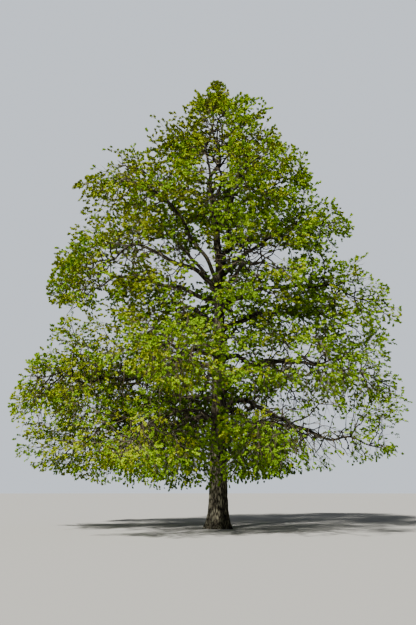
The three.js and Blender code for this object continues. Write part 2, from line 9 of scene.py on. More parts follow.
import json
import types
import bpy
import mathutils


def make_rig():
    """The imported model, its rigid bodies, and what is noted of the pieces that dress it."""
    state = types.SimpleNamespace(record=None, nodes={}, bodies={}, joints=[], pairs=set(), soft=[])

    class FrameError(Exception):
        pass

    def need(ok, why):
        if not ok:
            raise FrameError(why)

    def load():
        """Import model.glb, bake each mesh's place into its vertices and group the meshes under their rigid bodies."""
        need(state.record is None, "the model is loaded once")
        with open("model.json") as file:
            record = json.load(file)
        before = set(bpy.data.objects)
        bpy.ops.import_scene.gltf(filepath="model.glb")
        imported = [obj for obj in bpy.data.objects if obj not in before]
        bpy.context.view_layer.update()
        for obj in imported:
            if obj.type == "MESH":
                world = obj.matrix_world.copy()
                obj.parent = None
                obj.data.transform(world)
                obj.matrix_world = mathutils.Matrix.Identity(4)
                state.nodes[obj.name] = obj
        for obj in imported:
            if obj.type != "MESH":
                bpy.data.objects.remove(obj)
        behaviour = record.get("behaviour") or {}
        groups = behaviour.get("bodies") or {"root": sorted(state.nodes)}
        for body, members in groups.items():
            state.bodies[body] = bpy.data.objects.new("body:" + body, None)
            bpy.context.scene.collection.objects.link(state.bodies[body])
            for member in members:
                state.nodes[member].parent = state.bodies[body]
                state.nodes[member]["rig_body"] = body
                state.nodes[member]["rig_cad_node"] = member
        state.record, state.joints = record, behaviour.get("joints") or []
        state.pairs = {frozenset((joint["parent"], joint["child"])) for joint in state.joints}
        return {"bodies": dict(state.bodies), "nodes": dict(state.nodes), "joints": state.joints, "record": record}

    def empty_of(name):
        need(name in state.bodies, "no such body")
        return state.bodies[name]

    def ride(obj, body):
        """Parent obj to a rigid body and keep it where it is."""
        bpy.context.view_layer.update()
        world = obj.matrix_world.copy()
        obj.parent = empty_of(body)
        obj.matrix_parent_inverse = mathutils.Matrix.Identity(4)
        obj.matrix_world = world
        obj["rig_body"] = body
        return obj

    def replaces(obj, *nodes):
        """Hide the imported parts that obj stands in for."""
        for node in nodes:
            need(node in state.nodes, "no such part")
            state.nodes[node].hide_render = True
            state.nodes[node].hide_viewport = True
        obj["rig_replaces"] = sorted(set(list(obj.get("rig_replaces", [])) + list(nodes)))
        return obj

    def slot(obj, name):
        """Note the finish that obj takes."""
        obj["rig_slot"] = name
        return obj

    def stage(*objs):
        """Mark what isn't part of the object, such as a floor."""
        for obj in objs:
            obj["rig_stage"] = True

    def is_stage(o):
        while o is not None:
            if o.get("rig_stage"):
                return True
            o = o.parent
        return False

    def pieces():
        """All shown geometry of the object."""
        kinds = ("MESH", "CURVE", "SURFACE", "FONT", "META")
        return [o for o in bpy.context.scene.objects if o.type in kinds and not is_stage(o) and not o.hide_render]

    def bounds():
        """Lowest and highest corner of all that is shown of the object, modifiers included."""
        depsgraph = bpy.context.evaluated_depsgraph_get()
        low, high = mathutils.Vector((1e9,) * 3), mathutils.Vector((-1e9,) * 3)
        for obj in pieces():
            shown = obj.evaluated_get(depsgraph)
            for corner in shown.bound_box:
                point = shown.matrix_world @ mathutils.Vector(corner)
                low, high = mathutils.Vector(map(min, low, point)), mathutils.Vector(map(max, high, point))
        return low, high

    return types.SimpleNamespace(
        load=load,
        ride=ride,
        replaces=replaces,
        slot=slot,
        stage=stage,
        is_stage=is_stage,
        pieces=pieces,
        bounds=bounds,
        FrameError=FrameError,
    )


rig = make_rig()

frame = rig.load()

import json
import logging
import math
from dataclasses import dataclass, field
from enum import Enum

import bmesh
import bpy
import numpy as np
from mathutils import Vector, noise

Array = np.ndarray
Pair = tuple[float, float]
Triple = tuple[float, float, float]
Material = bpy.types.Material
Socket = bpy.types.NodeSocket

LOG = logging.getLogger("oak")

PHOTO_WIDTH = 416
PHOTO_HEIGHT = 625
UP = np.array([0.0, 0.0, 1.0])
TINY = 1e-6  # a length that counts as none
CAD_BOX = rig.bounds()
CURVE_PULL = 0.36  # how long a curve keeps to the way it leaves and arrives
BARK_PLACE = "bark_place"  # each limb's own straightened place, which the bark's pattern follows


def chance(a: Array, b: float = 0.0, c: float = 0.0) -> Array:
    """Give repeatable numbers from 0 to 1 for places in the tree.

    Args:
        a: The keys of the places.
        b: Which of a place's numbers is wanted.
        c: Which of those, where there are several.

    Returns:
        One number for each key.
    """
    wave = np.sin(np.asarray(a) * 12.9898 + np.asarray(b) * 78.233 + np.asarray(c) * 37.719) * 43758.5453
    return wave - np.floor(wave)


def sway(a: Array, b: float = 0.0, c: float = 0.0) -> Array:
    """Give the same numbers as chance, from -1 to 1."""
    return 2 * chance(a, b, c) - 1


def unit(vectors: Array) -> Array:
    """Scale vectors to a length of 1."""
    return vectors / np.maximum(np.linalg.norm(vectors, axis=-1, keepdims=True), 1e-9)


def heading(azimuth: Array, elevation: Array) -> Array:
    """Give the unit vector towards an azimuth and an elevation, both in radians."""
    level = np.cos(elevation)
    return np.stack([level * np.cos(azimuth), level * np.sin(azimuth), np.sin(elevation)], axis=-1)


def mixed(low: Array, high: Array, share: Array) -> Array:
    """Mix two values by a share."""
    return low + (high - low) * share


def sweep(start: Array, leaving: Array, end: Array, arriving: Array, steps: int) -> Array:
    """Draw cubic curves that leave and arrive along given headings.

    Args:
        start: Where the curves start, as rows of x, y and z.
        leaving: The unit headings there.
        end: Where they end.
        arriving: The unit headings there.
        steps: How many stretches each curve is drawn in.

    Returns:
        The points, as an array of curves by points by 3.
    """
    span = np.linalg.norm(end - start, axis=-1, keepdims=True) * CURVE_PULL
    t = np.linspace(0, 1, steps + 1)[None, :, None]
    a, d = start[:, None], end[:, None]
    b = (start + leaving * span)[:, None]
    c = (end - arriving * span)[:, None]
    return a * (1 - t) ** 3 + 3 * b * t * (1 - t) ** 2 + 3 * c * t**2 * (1 - t) + d * t**3


def along(values: Array, share: Array) -> Array:
    """Read values that are given at even steps of curves.

    Args:
        values: Curves by points by 3.
        share: Curves by places, each from 0 to 1.

    Returns:
        Curves by places by 3.
    """
    last = values.shape[1] - 1
    at = np.clip(share, 0, 1) * last
    step = np.minimum(at.astype(int), last - 1)
    rows = np.arange(len(values))[:, None]
    part = (at - step)[..., None]
    return values[rows, step] * (1 - part) + values[rows, step + 1] * part


def ways(points: Array) -> Array:
    """Give the unit heading of curves at each of their points."""
    return unit(np.gradient(points, axis=1))


def run_along(course: Array) -> Array:
    """Give how far along one curve each of its points lies."""
    return np.concatenate([[0], np.cumsum(np.linalg.norm(np.diff(course, axis=0), axis=1))])


def ramp(values: Array, start: float, span: float) -> Array:
    """Rise from 0 to 1 over a span."""
    return np.clip((values - start) / span, 0, 1)


def outward(points: Array) -> tuple[Array, Array]:
    """Give how far from the trunk's foot points stand, and the cosine of their azimuth."""
    out = np.hypot(points[..., 0], points[..., 1])
    return out, points[..., 0] / np.maximum(out, TINY)


def in_scene(name: str, data: bpy.types.ID) -> bpy.types.Object:
    """Put an object in the scene.

    Args:
        name: Its name.
        data: Its mesh, lamp or camera.

    Returns:
        The object.
    """
    made = bpy.data.objects.new(name, data)
    bpy.context.scene.collection.objects.link(made)
    return made


def finished(bm: bmesh.types.BMesh, name: str) -> bpy.types.Mesh:
    """Turn a bmesh into a mesh.

    Args:
        bm: The bmesh, which is freed.
        name: The mesh's name.

    Returns:
        The mesh.
    """
    mesh = bpy.data.meshes.new(name)
    bm.to_mesh(mesh)
    bm.free()
    return mesh


@dataclass(frozen=True)
class Crown:
    """The crown's outline, as a profile of radius against height."""

    # It is widest at one height, fuller or more pointed above it and tucked in below it.
    height: float = 23.2
    radius: float = 8.85
    widest: float = 4.3
    fullness: float = 2.3
    point: float = 0.87
    tuck: float = 0.35
    left_reach: float = 1.035
    right_reach: float = 0.965
    # Where it swells beyond its profile, or sinks: height, spread, reach at +X and at -X.
    swells: tuple[tuple[float, float, float, float], ...] = (
        (21.8, 0.4, 1.8, 0.0),
        (21.0, 0.5, 0.35, 0.0),
        (21.0, 0.6, 0.0, 0.4),
        (17.3, 1.5, -0.35, 0.75),
        (15.0, 0.7, -0.35, 0.45),
        (13.2, 0.9, 0.0, -0.35),
        (12.4, 0.75, -1.35, 0.0),
        (9.5, 0.7, 0.4, 0.0),
        (8.7, 1.7, 0.0, -1.25),
        (5.2, 1.5, 0.15, 0.1),
        (22.6, 0.7, -0.75, -0.95),
    )
    # The height of its hanging edge, more on the right and more further out.
    skirt: float = 1.6
    skirt_lift: float = 0.6
    skirt_rise: float = 1.25
    lump: float = 0.05
    skirt_lump: float = 0.6
    # Each wave's own turns, how far another bends it, and that one's turns.
    wave_x: Triple = (2.3, 1.6, 1.3)
    wave_y: Triple = (2.6, 1.4, 1.1)
    wave_z: tuple[float, float, float, float] = (2.9, 1.5, 0.8, 1.2)

    def reach(self, height: Array, across: Array) -> Array:
        """Give the crown's radius.

        Args:
            height: The heights.
            across: The cosines of the azimuths.

        Returns:
            The radius for each, which is 0 above the crown.
        """
        side = mixed(self.left_reach, self.right_reach, (1 + across) / 2)
        share = (height - self.widest) / (self.height - self.widest)
        above = (1 - np.clip(share, 0, 1) ** self.fullness) ** self.point
        below = 1 - self.tuck * share**2
        total = self.radius * side * np.where(share > 0, above, below)
        for level, spread, right, left in self.swells:
            towards = np.where(across > 0, right, left)
            total = total + towards * across**2 * np.exp(-(((height - level) / spread) ** 2))
        return np.where(share < 1, total, 0)

    def lumps(self, points: Array) -> Array:
        """Give the crown's own unevenness: three waves that bend each other and never fall in step.

        Args:
            points: The places.

        Returns:
            A number from -1 to 1 for each.
        """
        x, y, z = points[..., 0], points[..., 1], points[..., 2]
        own, bend, turns = self.wave_x
        first = np.sin(own * x + bend * np.sin(turns * z))
        own, bend, turns = self.wave_y
        second = np.sin(own * y + bend * np.sin(turns * x))
        own, bend, turns, across = self.wave_z
        third = np.sin(own * z + bend * np.sin(turns * y + across * x))
        return (first * second + second * third + third * first) / 3

    def holds(self, points: Array) -> Array:
        """Say which of some points lie inside the crown.

        Args:
            points: The places.

        Returns:
            True for each that does.
        """
        lumps = self.lumps(points)
        out, across = outward(points)
        floor = self.skirt + self.skirt_lift * np.maximum(0, across)
        floor = floor + self.skirt_rise * (out / self.radius) ** 2
        high = points[..., 2] > floor + self.skirt_lump * lumps
        return high & (out * (1 + self.lump * lumps) < self.reach(points[..., 2], across))


@dataclass(frozen=True)
class Leader:
    """The trunk's line and thickness, from the ground to where it enters the topmost mass."""

    radius: float = 0.445
    top: float = 19.7
    vanish: float = 21.6
    taper: float = 0.95
    flare: float = 0.19
    flare_height: float = 0.42
    buttresses: int = 5
    buttress_share: float = 0.45
    buttress_turn: float = 0.6
    depth_sway: float = 0.09
    depth_turns: float = 9.0
    crown_height: float = 23.2
    # Height, and how far the leader stands towards +X there.
    bends: tuple[Pair, ...] = (
        (0.0, 0.0),
        (12.4, 0.11),
        (13.8, -0.02),
        (17.2, -0.35),
        (18.4, 0.18),
        (19.7, 0.02),
    )

    def axis(self, height: Array) -> Array:
        """Give the places on the trunk's axis, which eases from bend to bend.

        Args:
            height: The heights.

        Returns:
            Rows of x, y and z.
        """
        height = np.asarray(height, float)
        x = np.full(height.shape, self.bends[0][1])
        for (low, low_x), (high, high_x) in zip(self.bends, self.bends[1:]):
            share = ramp(height, low, high - low)
            x = np.where(height > low, mixed(low_x, high_x, share * share * (3 - 2 * share)), x)
        risen = height / self.crown_height
        y = self.depth_sway * risen * np.sin(self.depth_turns * risen)
        return np.stack([x, y, height], axis=-1)

    def thickness(self, height: Array) -> Array:
        """Give the trunk's radius at some heights, without its flare."""
        return self.radius * (1 - np.asarray(height) / self.vanish) ** self.taper

    def flared(self, height: Array, azimuth: Array) -> Array:
        """Give the trunk's radius with its root flare and buttresses."""
        swell = 1 + self.buttress_share * np.cos(self.buttresses * azimuth + self.buttress_turn)
        return self.thickness(height) + self.flare * swell * np.exp(-height / self.flare_height)


@dataclass(frozen=True)
class Tier:
    """A whorl of boughs with a mass of foliage on each, or of masses that grow from the leader.

    A pair of numbers is the tier's mean and what is added to it at +X and taken off at -X.
    Angles are in degrees.
    """

    name: str
    count: int
    turn: float
    root: Pair
    stagger: float
    rise: Pair
    outer_height: Pair
    outer_fall: float
    # The bough's reach, its tip and its thickness, where the tier has boughs.
    reach: float = 0.0
    tip_height: Pair = (0.0, 0.0)
    fall: Pair = (0.0, 0.0)
    thick: float = 0.0
    # The masses' size, and how much they hang.
    scale: float = 1.0
    droop: float = 0.0


TIERS = (
    Tier(
        "skirt", 6, 180, (5.15, -0.38), 0.85, (27, 0), (3.25, 0.25), -42,
        4.3, (4.75, -0.15), (-27, 0), 0.125, droop=0.5,
    ),
    Tier(
        "lower", 7, 0, (7.15, -0.78), 0.85, (20, 20), (6.5, 0.1), -24,
        4.25, (7.0, 0.33), (-16, 2), 0.135, droop=0.3,
    ),
    Tier(
        "middle", 7, 180, (9.95, -0.4), 0.85, (29, 2), (10.5, -0.5), -12,
        4.0, (11.15, -0.62), (4, -6), 0.125, droop=0.1,
    ),
    Tier(
        "upper", 5, 0, (11.25, 0.45), 0.7, (54, -8), (14.9, -0.3), 0,
        3.1, (14.65, -0.32), (37, -6), 0.105,
    ),
    Tier("shoulder", 4, 180, (15.3, 0), 0.5, (50, 0), (17.5, -0.45), 12, scale=0.9),
    Tier("top", 3, 24, (17.6, 0), 0.6, (52, 0), (20.2, 0), 30, scale=0.8),
)


def leaning(pair: Pair, azimuth: float) -> float:
    """Give a tier's value towards an azimuth."""
    return pair[0] + pair[1] * math.cos(azimuth)


@dataclass
class Bough:
    """One bough: its course and its radius at the root."""

    name: str
    course: Array
    thick: float


@dataclass
class Mass:
    """One mass of foliage: its stem's course, and the facts of its growth."""

    name: str
    group: str
    key: float
    scale: float
    bare: float
    droop: float
    thick: float
    stem: Array
    centre: Array = field(default_factory=lambda: np.zeros(3))


@dataclass
class TreePlan:
    """Where every bough and every stem runs, by the same rule as the solids."""

    crown: Crown = field(default_factory=Crown)
    leader: Leader = field(default_factory=Leader)
    azimuth_stray: float = 7.0
    reach_stray: float = 0.07
    tip_stray: float = 0.15
    outer_stray: float = 0.35
    lift_kept: float = 0.4
    wander: float = 0.17
    wander_turns: Pair = (1.2, 2.2)
    bough_tip: float = 0.068
    bough_bare: float = 0.06
    leader_bare: float = 0.3
    spray_length: float = 2.6
    stem_short: float = 0.62
    stem_on: tuple[float, ...] = (0.75, 0.5, 0.25, 0.0)
    tip_scale: float = 0.62
    tip_key: float = 90.0
    peak_shift: float = 0.25
    bough_steps: int = 60
    stem_steps: int = 24
    boughs: list[Bough] = field(default_factory=list)
    masses: list[Mass] = field(default_factory=list)

    def strayed(self, course: Array, key: float, azimuth: float) -> Array:
        """Bend a bough's course in and out sideways, which leaves its two ends alone.

        Args:
            course: The bough's even course.
            key: The bough's key.
            azimuth: Where it points, in radians.

        Returns:
            The bent course.
        """
        side = heading(azimuth + math.pi / 2, 0)
        share = np.linspace(0, 1, len(course))
        bow = np.sin(np.pi * share) ** 2
        waves = mixed(*self.wander_turns, chance(key, 7))
        turns = 2 * np.pi * (waves * share + chance(key, 8))
        bent = course + side * (self.wander * bow * np.sin(turns))[:, None]
        bent[:, 2] += self.wander / 2 * bow * np.cos(turns)
        return bent

    def add_whorl(self, tier: Tier, level: int) -> None:
        """Lay out one tier's boughs and stems.

        Args:
            tier: The tier.
            level: Its place in the order of tiers.
        """
        half = tier.count // 2
        for k in range(tier.count):
            key = 1 + level * 10 + k
            stray = self.azimuth_stray * float(sway(key, 1)) if k else 0.0
            azimuth = math.radians(k / tier.count * 360 + tier.turn + stray)
            lift = tier.stagger * (((k * half + half) % tier.count) - half) / half
            toward = heading(azimuth, math.radians(leaning(tier.rise, azimuth)))
            start = self.leader.axis(leaning(tier.root, azimuth) + lift)
            bare = self.leader_bare
            if tier.reach:
                bare = self.bough_bare
                reach = tier.reach * (1 + self.reach_stray * float(sway(key, 3)))
                tip = heading(azimuth, 0) * reach
                tip[2] = leaning(tier.tip_height, azimuth) + lift * self.lift_kept
                tip[2] += self.tip_stray * float(sway(key, 4))
                arriving = heading(azimuth, math.radians(leaning(tier.fall, azimuth)))
                course = sweep(start[None], toward[None], tip[None], arriving[None], self.bough_steps)[0]
                course = self.strayed(course, key, azimuth)
                self.boughs.append(Bough(f"{tier.name}_{k + 1}", course, tier.thick))
                start, toward = course[-1], unit(course[-1] - course[-2])
            outer_z = leaning(tier.outer_height, azimuth) + self.outer_stray * float(sway(key, 2))
            short = self.spray_length * tier.scale * self.stem_short
            outer = heading(azimuth, 0) * (float(self.crown.reach(outer_z, math.cos(azimuth))) - short)
            outer[2] = outer_z
            outward = heading(azimuth, math.radians(tier.outer_fall))
            self.add_mass(f"{tier.name}_{k + 1}", tier, key, bare, (start, toward, outer, outward))

    def add_mass(self, name: str, tier: Tier, key: float, bare: float, run: tuple[Array, ...]) -> None:
        """Lay out one mass's stem, which runs on a little past the solid's, into its last spray.

        Args:
            name: The mass's name.
            tier: Its tier, or one that stands for it.
            key: Its key.
            bare: The share of its stem that has no shoots.
            run: Where the stem starts, its heading there, where the solid's ends and its heading there.
        """
        start, toward, outer, outward = (value[None] for value in run)
        solid_stem = sweep(start, toward, outer, outward, self.stem_steps)[0]
        for on in self.stem_on:
            end = outer + outward * (self.spray_length * tier.scale * self.stem_short * on)
            if self.crown.holds(end)[0]:
                break
        stem = sweep(start, toward, end, outward, self.stem_steps)[0]
        group = "crown" if tier.name in ("shoulder", "top", "tip") else tier.name
        mass = Mass(name, group, key, tier.scale, bare, tier.droop, self.bough_tip, stem)
        mass.centre = along(solid_stem[None], np.array([[(1 + bare) / 2]]))[0, 0]
        self.masses.append(mass)

    def add_tip(self) -> None:
        """Lay out the topmost mass, in which the leader ends."""
        tier = Tier("tip", 1, 0, (0, 0), 0, (0, 0), (0, 0), 90, scale=self.tip_scale)
        start = self.leader.axis(self.leader.top)
        short = self.spray_length * self.tip_scale * self.stem_short
        peak = np.array([self.peak_shift, 0, self.crown.height - short])
        self.add_mass("tip", tier, self.tip_key, self.bough_bare, (start, UP, peak, UP))
        self.masses[-1].thick = float(self.leader.thickness(self.leader.top))

    def number(self, name: str) -> int:
        """Give the number of the mass with a name."""
        return [mass.name for mass in self.masses].index(name)

    def groups(self) -> Array:
        """Give the name of each mass's group."""
        return np.array([mass.group for mass in self.masses])

    def solids(self, group: str) -> list[str]:
        """Name the solids of a group's masses."""
        return [f"foliage_{mass.name}" for mass in self.masses if mass.group == group]

    def lay_out(self) -> "TreePlan":
        """Lay out the whole tree.

        Returns:
            This plan, with its boughs and masses.
        """
        for level, tier in enumerate(TIERS):
            self.add_whorl(tier, level)
        self.add_tip()
        return self


@dataclass(frozen=True)
class PhotoView:
    """The camera that took the photograph: upright frame, looking up a little."""

    lens: float = 35.0
    film: float = 36.0
    distance: float = 28.5
    height: float = 1.6
    pitch: float = 16.36
    yaw: float = 0.92
    far: float = 1000.0

    def pixels(self, points: Array) -> Array:
        """Find where points fall in the photograph.

        Args:
            points: Rows of x, y and z in metres.

        Returns:
            Rows of x and y in pixels, from the frame's top left.
        """
        pitch, yaw = math.radians(self.pitch), math.radians(self.yaw)
        x, y, z = points[..., 0], points[..., 1] + self.distance, points[..., 2] - self.height
        across = x * math.cos(yaw) + y * math.sin(yaw)
        ahead = y * math.cos(yaw) - x * math.sin(yaw)
        depth = ahead * math.cos(pitch) + z * math.sin(pitch)
        rise = z * math.cos(pitch) - ahead * math.sin(pitch)
        scale = self.lens / self.film * PHOTO_HEIGHT / depth
        return np.stack([PHOTO_WIDTH / 2 + across * scale, PHOTO_HEIGHT / 2 - rise * scale], axis=-1)

    def add_camera(self) -> None:
        """Put the scene's camera there."""
        data = bpy.data.cameras.new("camera")
        data.lens = self.lens
        data.sensor_width = self.film
        data.clip_end = self.far
        camera = in_scene("camera", data)
        camera.location = (0, -self.distance, self.height)
        camera.rotation_euler = (math.radians(90 + self.pitch), 0, math.radians(self.yaw))
        bpy.context.scene.camera = camera


@dataclass(frozen=True)
class Patch:
    """An ellipse in the photograph, in its pixels, where shoots are treated apart from the rest."""

    x: float
    y: float
    wide: float
    high: float
    spared: float = 0.0
    front: bool = False
    ragged: float = 0.35

    def picks(self, pixels: Array, depth: Array, keys: Array) -> Array:
        """Say which of some shoots the patch picks.

        Args:
            pixels: Where the shoots fall in the photograph.
            depth: How far behind the trunk they stand.
            keys: Their keys.

        Returns:
            True for each shoot that it picks.
        """
        off = np.hypot((pixels[:, 0] - self.x) / self.wide, (pixels[:, 1] - self.y) / self.high)
        inside = off < 1 + self.ragged * sway(keys, 21)
        return inside & (chance(keys, 22) >= self.spared) & ((depth < 0) | (not self.front))


def patches(*rows: tuple[float, ...], front: bool = False) -> tuple[Patch, ...]:
    """Make patches from rows of x, y, half width, half height and the share that is spared."""
    return tuple(Patch(*row, front=front) for row in rows)


# Where the photograph shows the crown open or thin, through its whole depth.
OPENINGS = patches(
    (268, 254, 22, 12, 0.1), (205, 92, 9, 8, 0.4), (232, 92, 8, 9, 0.4), (68, 228, 14, 10, 0.6),
    (306, 412, 24, 28, 0.65), (372, 448, 16, 12, 0.5), (48, 290, 12, 14, 0.6), (68, 311, 14, 9, 0.4),
    (116, 262, 16, 12, 0.6), (84, 226, 12, 10, 0.55), (62, 345, 14, 8, 0.6), (28, 372, 12, 8, 0.5),
    (150, 248, 10, 8, 0.5), (372, 288, 12, 14, 0.65), (202, 259, 12, 21, 0.15), (219, 262, 9, 26, 0.3),
    (158, 252, 18, 16, 0.35), (212, 158, 20, 18, 0.7), (217, 120, 8, 6, 0.3), (193, 194, 8, 6, 0.5),
    (243, 313, 12, 14, 0.9), (237, 358, 10, 9, 0.3), (292, 358, 38, 14, 0.4), (88, 408, 12, 9, 0.5),
    (140, 383, 14, 6, 0.3), (107, 164, 22, 14, 0.3), (250, 140, 14, 12, 0.6), (262, 126, 10, 8, 0.5),
    (313, 170, 10, 12, 0.5), (128, 250, 12, 14, 0.4), (252, 256, 16, 14, 0.4), (98, 286, 18, 8, 0.6),
    (289, 400, 14, 18, 0.2), (325, 432, 26, 28, 0.2), (306, 386, 14, 12, 0.5), (335, 215, 18, 20, 0.65),
    (350, 325, 14, 10, 0.55), (391, 308, 12, 10, 0.5), (391, 388, 12, 10, 0.5), (324, 455, 42, 16, 0.3),
    (352, 362, 46, 30, 0.85),
)

# Where it shows limbs, so that only the growth in front of the trunk is thinned.
CLEARINGS = patches(
    (217, 160, 12, 45, 0.22), (233, 190, 14, 10, 0.75), (240, 262, 22, 14, 0.4),
    (183, 255, 26, 16, 0.6), (135, 262, 30, 9, 0.5), (170, 205, 30, 9, 0.75),
    front=True,
)

# Where it shows the crown thick with leaves, so that no gap between clumps is left.
THICKETS = patches(
    (115, 318, 44, 26), (185, 292, 26, 15), (272, 192, 48, 38), (100, 206, 22, 14), (268, 290, 14, 10),
    (335, 292, 22, 14), (350, 405, 18, 12), (190, 225, 16, 12), (150, 190, 30, 8), (165, 310, 30, 14),
)

# Sky round the crown, where the even outline would reach too far.
TRIMS = patches(
    (199, 84, 9, 9), (184, 92, 13, 9), (240, 82, 9, 9), (254, 88, 11, 8), (280, 120, 8, 8),
    (128, 127, 24, 11), (110, 141, 16, 8), (323, 164, 13, 12), (352, 247, 14, 8), (375, 264, 13, 12),
    (50, 311, 15, 7), (360, 233, 9, 8), (399, 296, 13, 8), (401, 332, 10, 8), (412, 386, 12, 9),
    (414, 440, 18, 20),
)


@dataclass
class Shoots:
    """Curves of one order of growth, with what each needs to know to branch on."""

    points: Array
    keys: Array
    owner: Array
    first: Array
    root_radius: Array
    end_radius: Array

    def parts(self) -> tuple[Array, ...]:
        """Give the curves' arrays in order."""
        return self.points, self.keys, self.owner, self.first, self.root_radius, self.end_radius

    def some(self, kept: Array) -> "Shoots":
        """Keep some of the curves."""
        return Shoots(*(values[kept] for values in self.parts()))

    def joined(self, others: "Shoots") -> "Shoots":
        """Put these curves and others together."""
        return Shoots(*(np.concatenate(pair) for pair in zip(self.parts(), others.parts())))


@dataclass(frozen=True)
class Order:
    """How one order of side shoots grows on the order before it. Angles are in degrees.

    A pair is what holds at the root and at the end: the parent's for the opening, or its own.
    """

    count: int
    span: float
    shorten: float
    opening: Pair
    steps: int
    thick: Pair
    bare: float
    key: float
    # The room beyond its end that a shoot needs.
    room: float
    # How much it turns to its parent's way, hangs as its mass does, falls, lifts and is flattened.
    turn: float = 0.3
    droop: float = 0.0
    fall: float = 0.0
    lift: float = 0.0
    flatness: float = 0.8
    crook: float = 0.0
    # Whether it may leave its mass's space, and how often it is tried, each time a little shorter.
    ranging: bool = False
    tries: int = 9
    shrink: float = 0.84
    spiral: float = 137.5
    spiral_stray: float = 0.5
    spacing_stray: float = 0.7
    nudge: float = 0.01


BRANCHES = Order(
    17, 3.3, 0.45, (100, 38), 8, (0.036, 0.012), 0.15, 20, 0.35, droop=0.35, flatness=0.85, crook=0.05
)
INNER = Order(
    9, 2.2, 0.3, (82, 55), 8, (0.036, 0.012), 0.25, 200, 0.35,
    droop=0.6, flatness=0.65, crook=0.06, ranging=True,
)
LOW = Order(
    9, 2.7, 0.3, (85, 60), 8, (0.03, 0.01), 0.3, 300, 0.3,
    droop=0.6, fall=1.3, flatness=0.5, crook=0.06, ranging=True,
)
MORE = Order(
    5, 2.8, 0.4, (95, 40), 8, (0.036, 0.012), 0.15, 500, 0.35, flatness=0.85, crook=0.06, ranging=True
)
RISING = Order(
    5, 2.9, 0.3, (85, 60), 8, (0.03, 0.01), 0.2, 700, 0.35,
    lift=1.15, flatness=0.6, crook=0.06, ranging=True,
)
FILLING = Order(
    5, 3.0, 0.2, (75, 50), 8, (0.03, 0.01), 0.1, 800, 0.3,
    lift=0.75, flatness=0.6, crook=0.06, ranging=True,
)
SPUR = Order(1, 3.45, 0.0, (0, 0), 8, (0.03, 0.009), 0.35, 900, 0.0, crook=0.06, ranging=True)
TWIGS = Order(12, 0.9, 0.35, (74, 34), 3, (0.011, 0.005), 0.25, 20, 0.2, droop=0.3, flatness=0.4, crook=0.05)
HANGING = Order(
    2, 2.2, 0.3, (80, 60), 3, (0.014, 0.007), 0.1, 7, 0.1, fall=7.0, crook=0.04, ranging=True
)
SPRIGS = Order(3, 0.36, 0.25, (58, 30), 1, (0.004, 0.0018), 0.0, 10, 0.05, turn=0.4, droop=0.2, flatness=0.6)


@dataclass(frozen=True)
class Clumping:
    """How twigs gather into clumps that are wider than they are high, with gaps between."""

    size: Triple = (1.7, 1.7, 0.95)
    # The share of twigs kept, more further up and on the left, and how much the clumps change it.
    evenness: float = 0.91
    fuller_up: float = 0.29
    fuller_left: float = 0.42
    strength: float = 1.7
    least: float = 0.12

    def keeps(self, shoots: Shoots, crown: Crown) -> Array:
        """Say which of some shoots stand in a clump.

        Args:
            shoots: The shoots.
            crown: The crown that they stand in, which is fuller towards its top and on its left.

        Returns:
            True for each shoot that is grown.
        """
        places = shoots.points.mean(axis=1)
        left = np.maximum(-places[:, 0], 0) / crown.radius
        even = self.evenness + self.fuller_up * places[:, 2] / crown.height + self.fuller_left * left
        dense = np.array([noise.noise(Vector(place)) for place in places / self.size])
        return chance(shoots.keys, 23) < np.clip(even + self.strength * dense, self.least, 1)


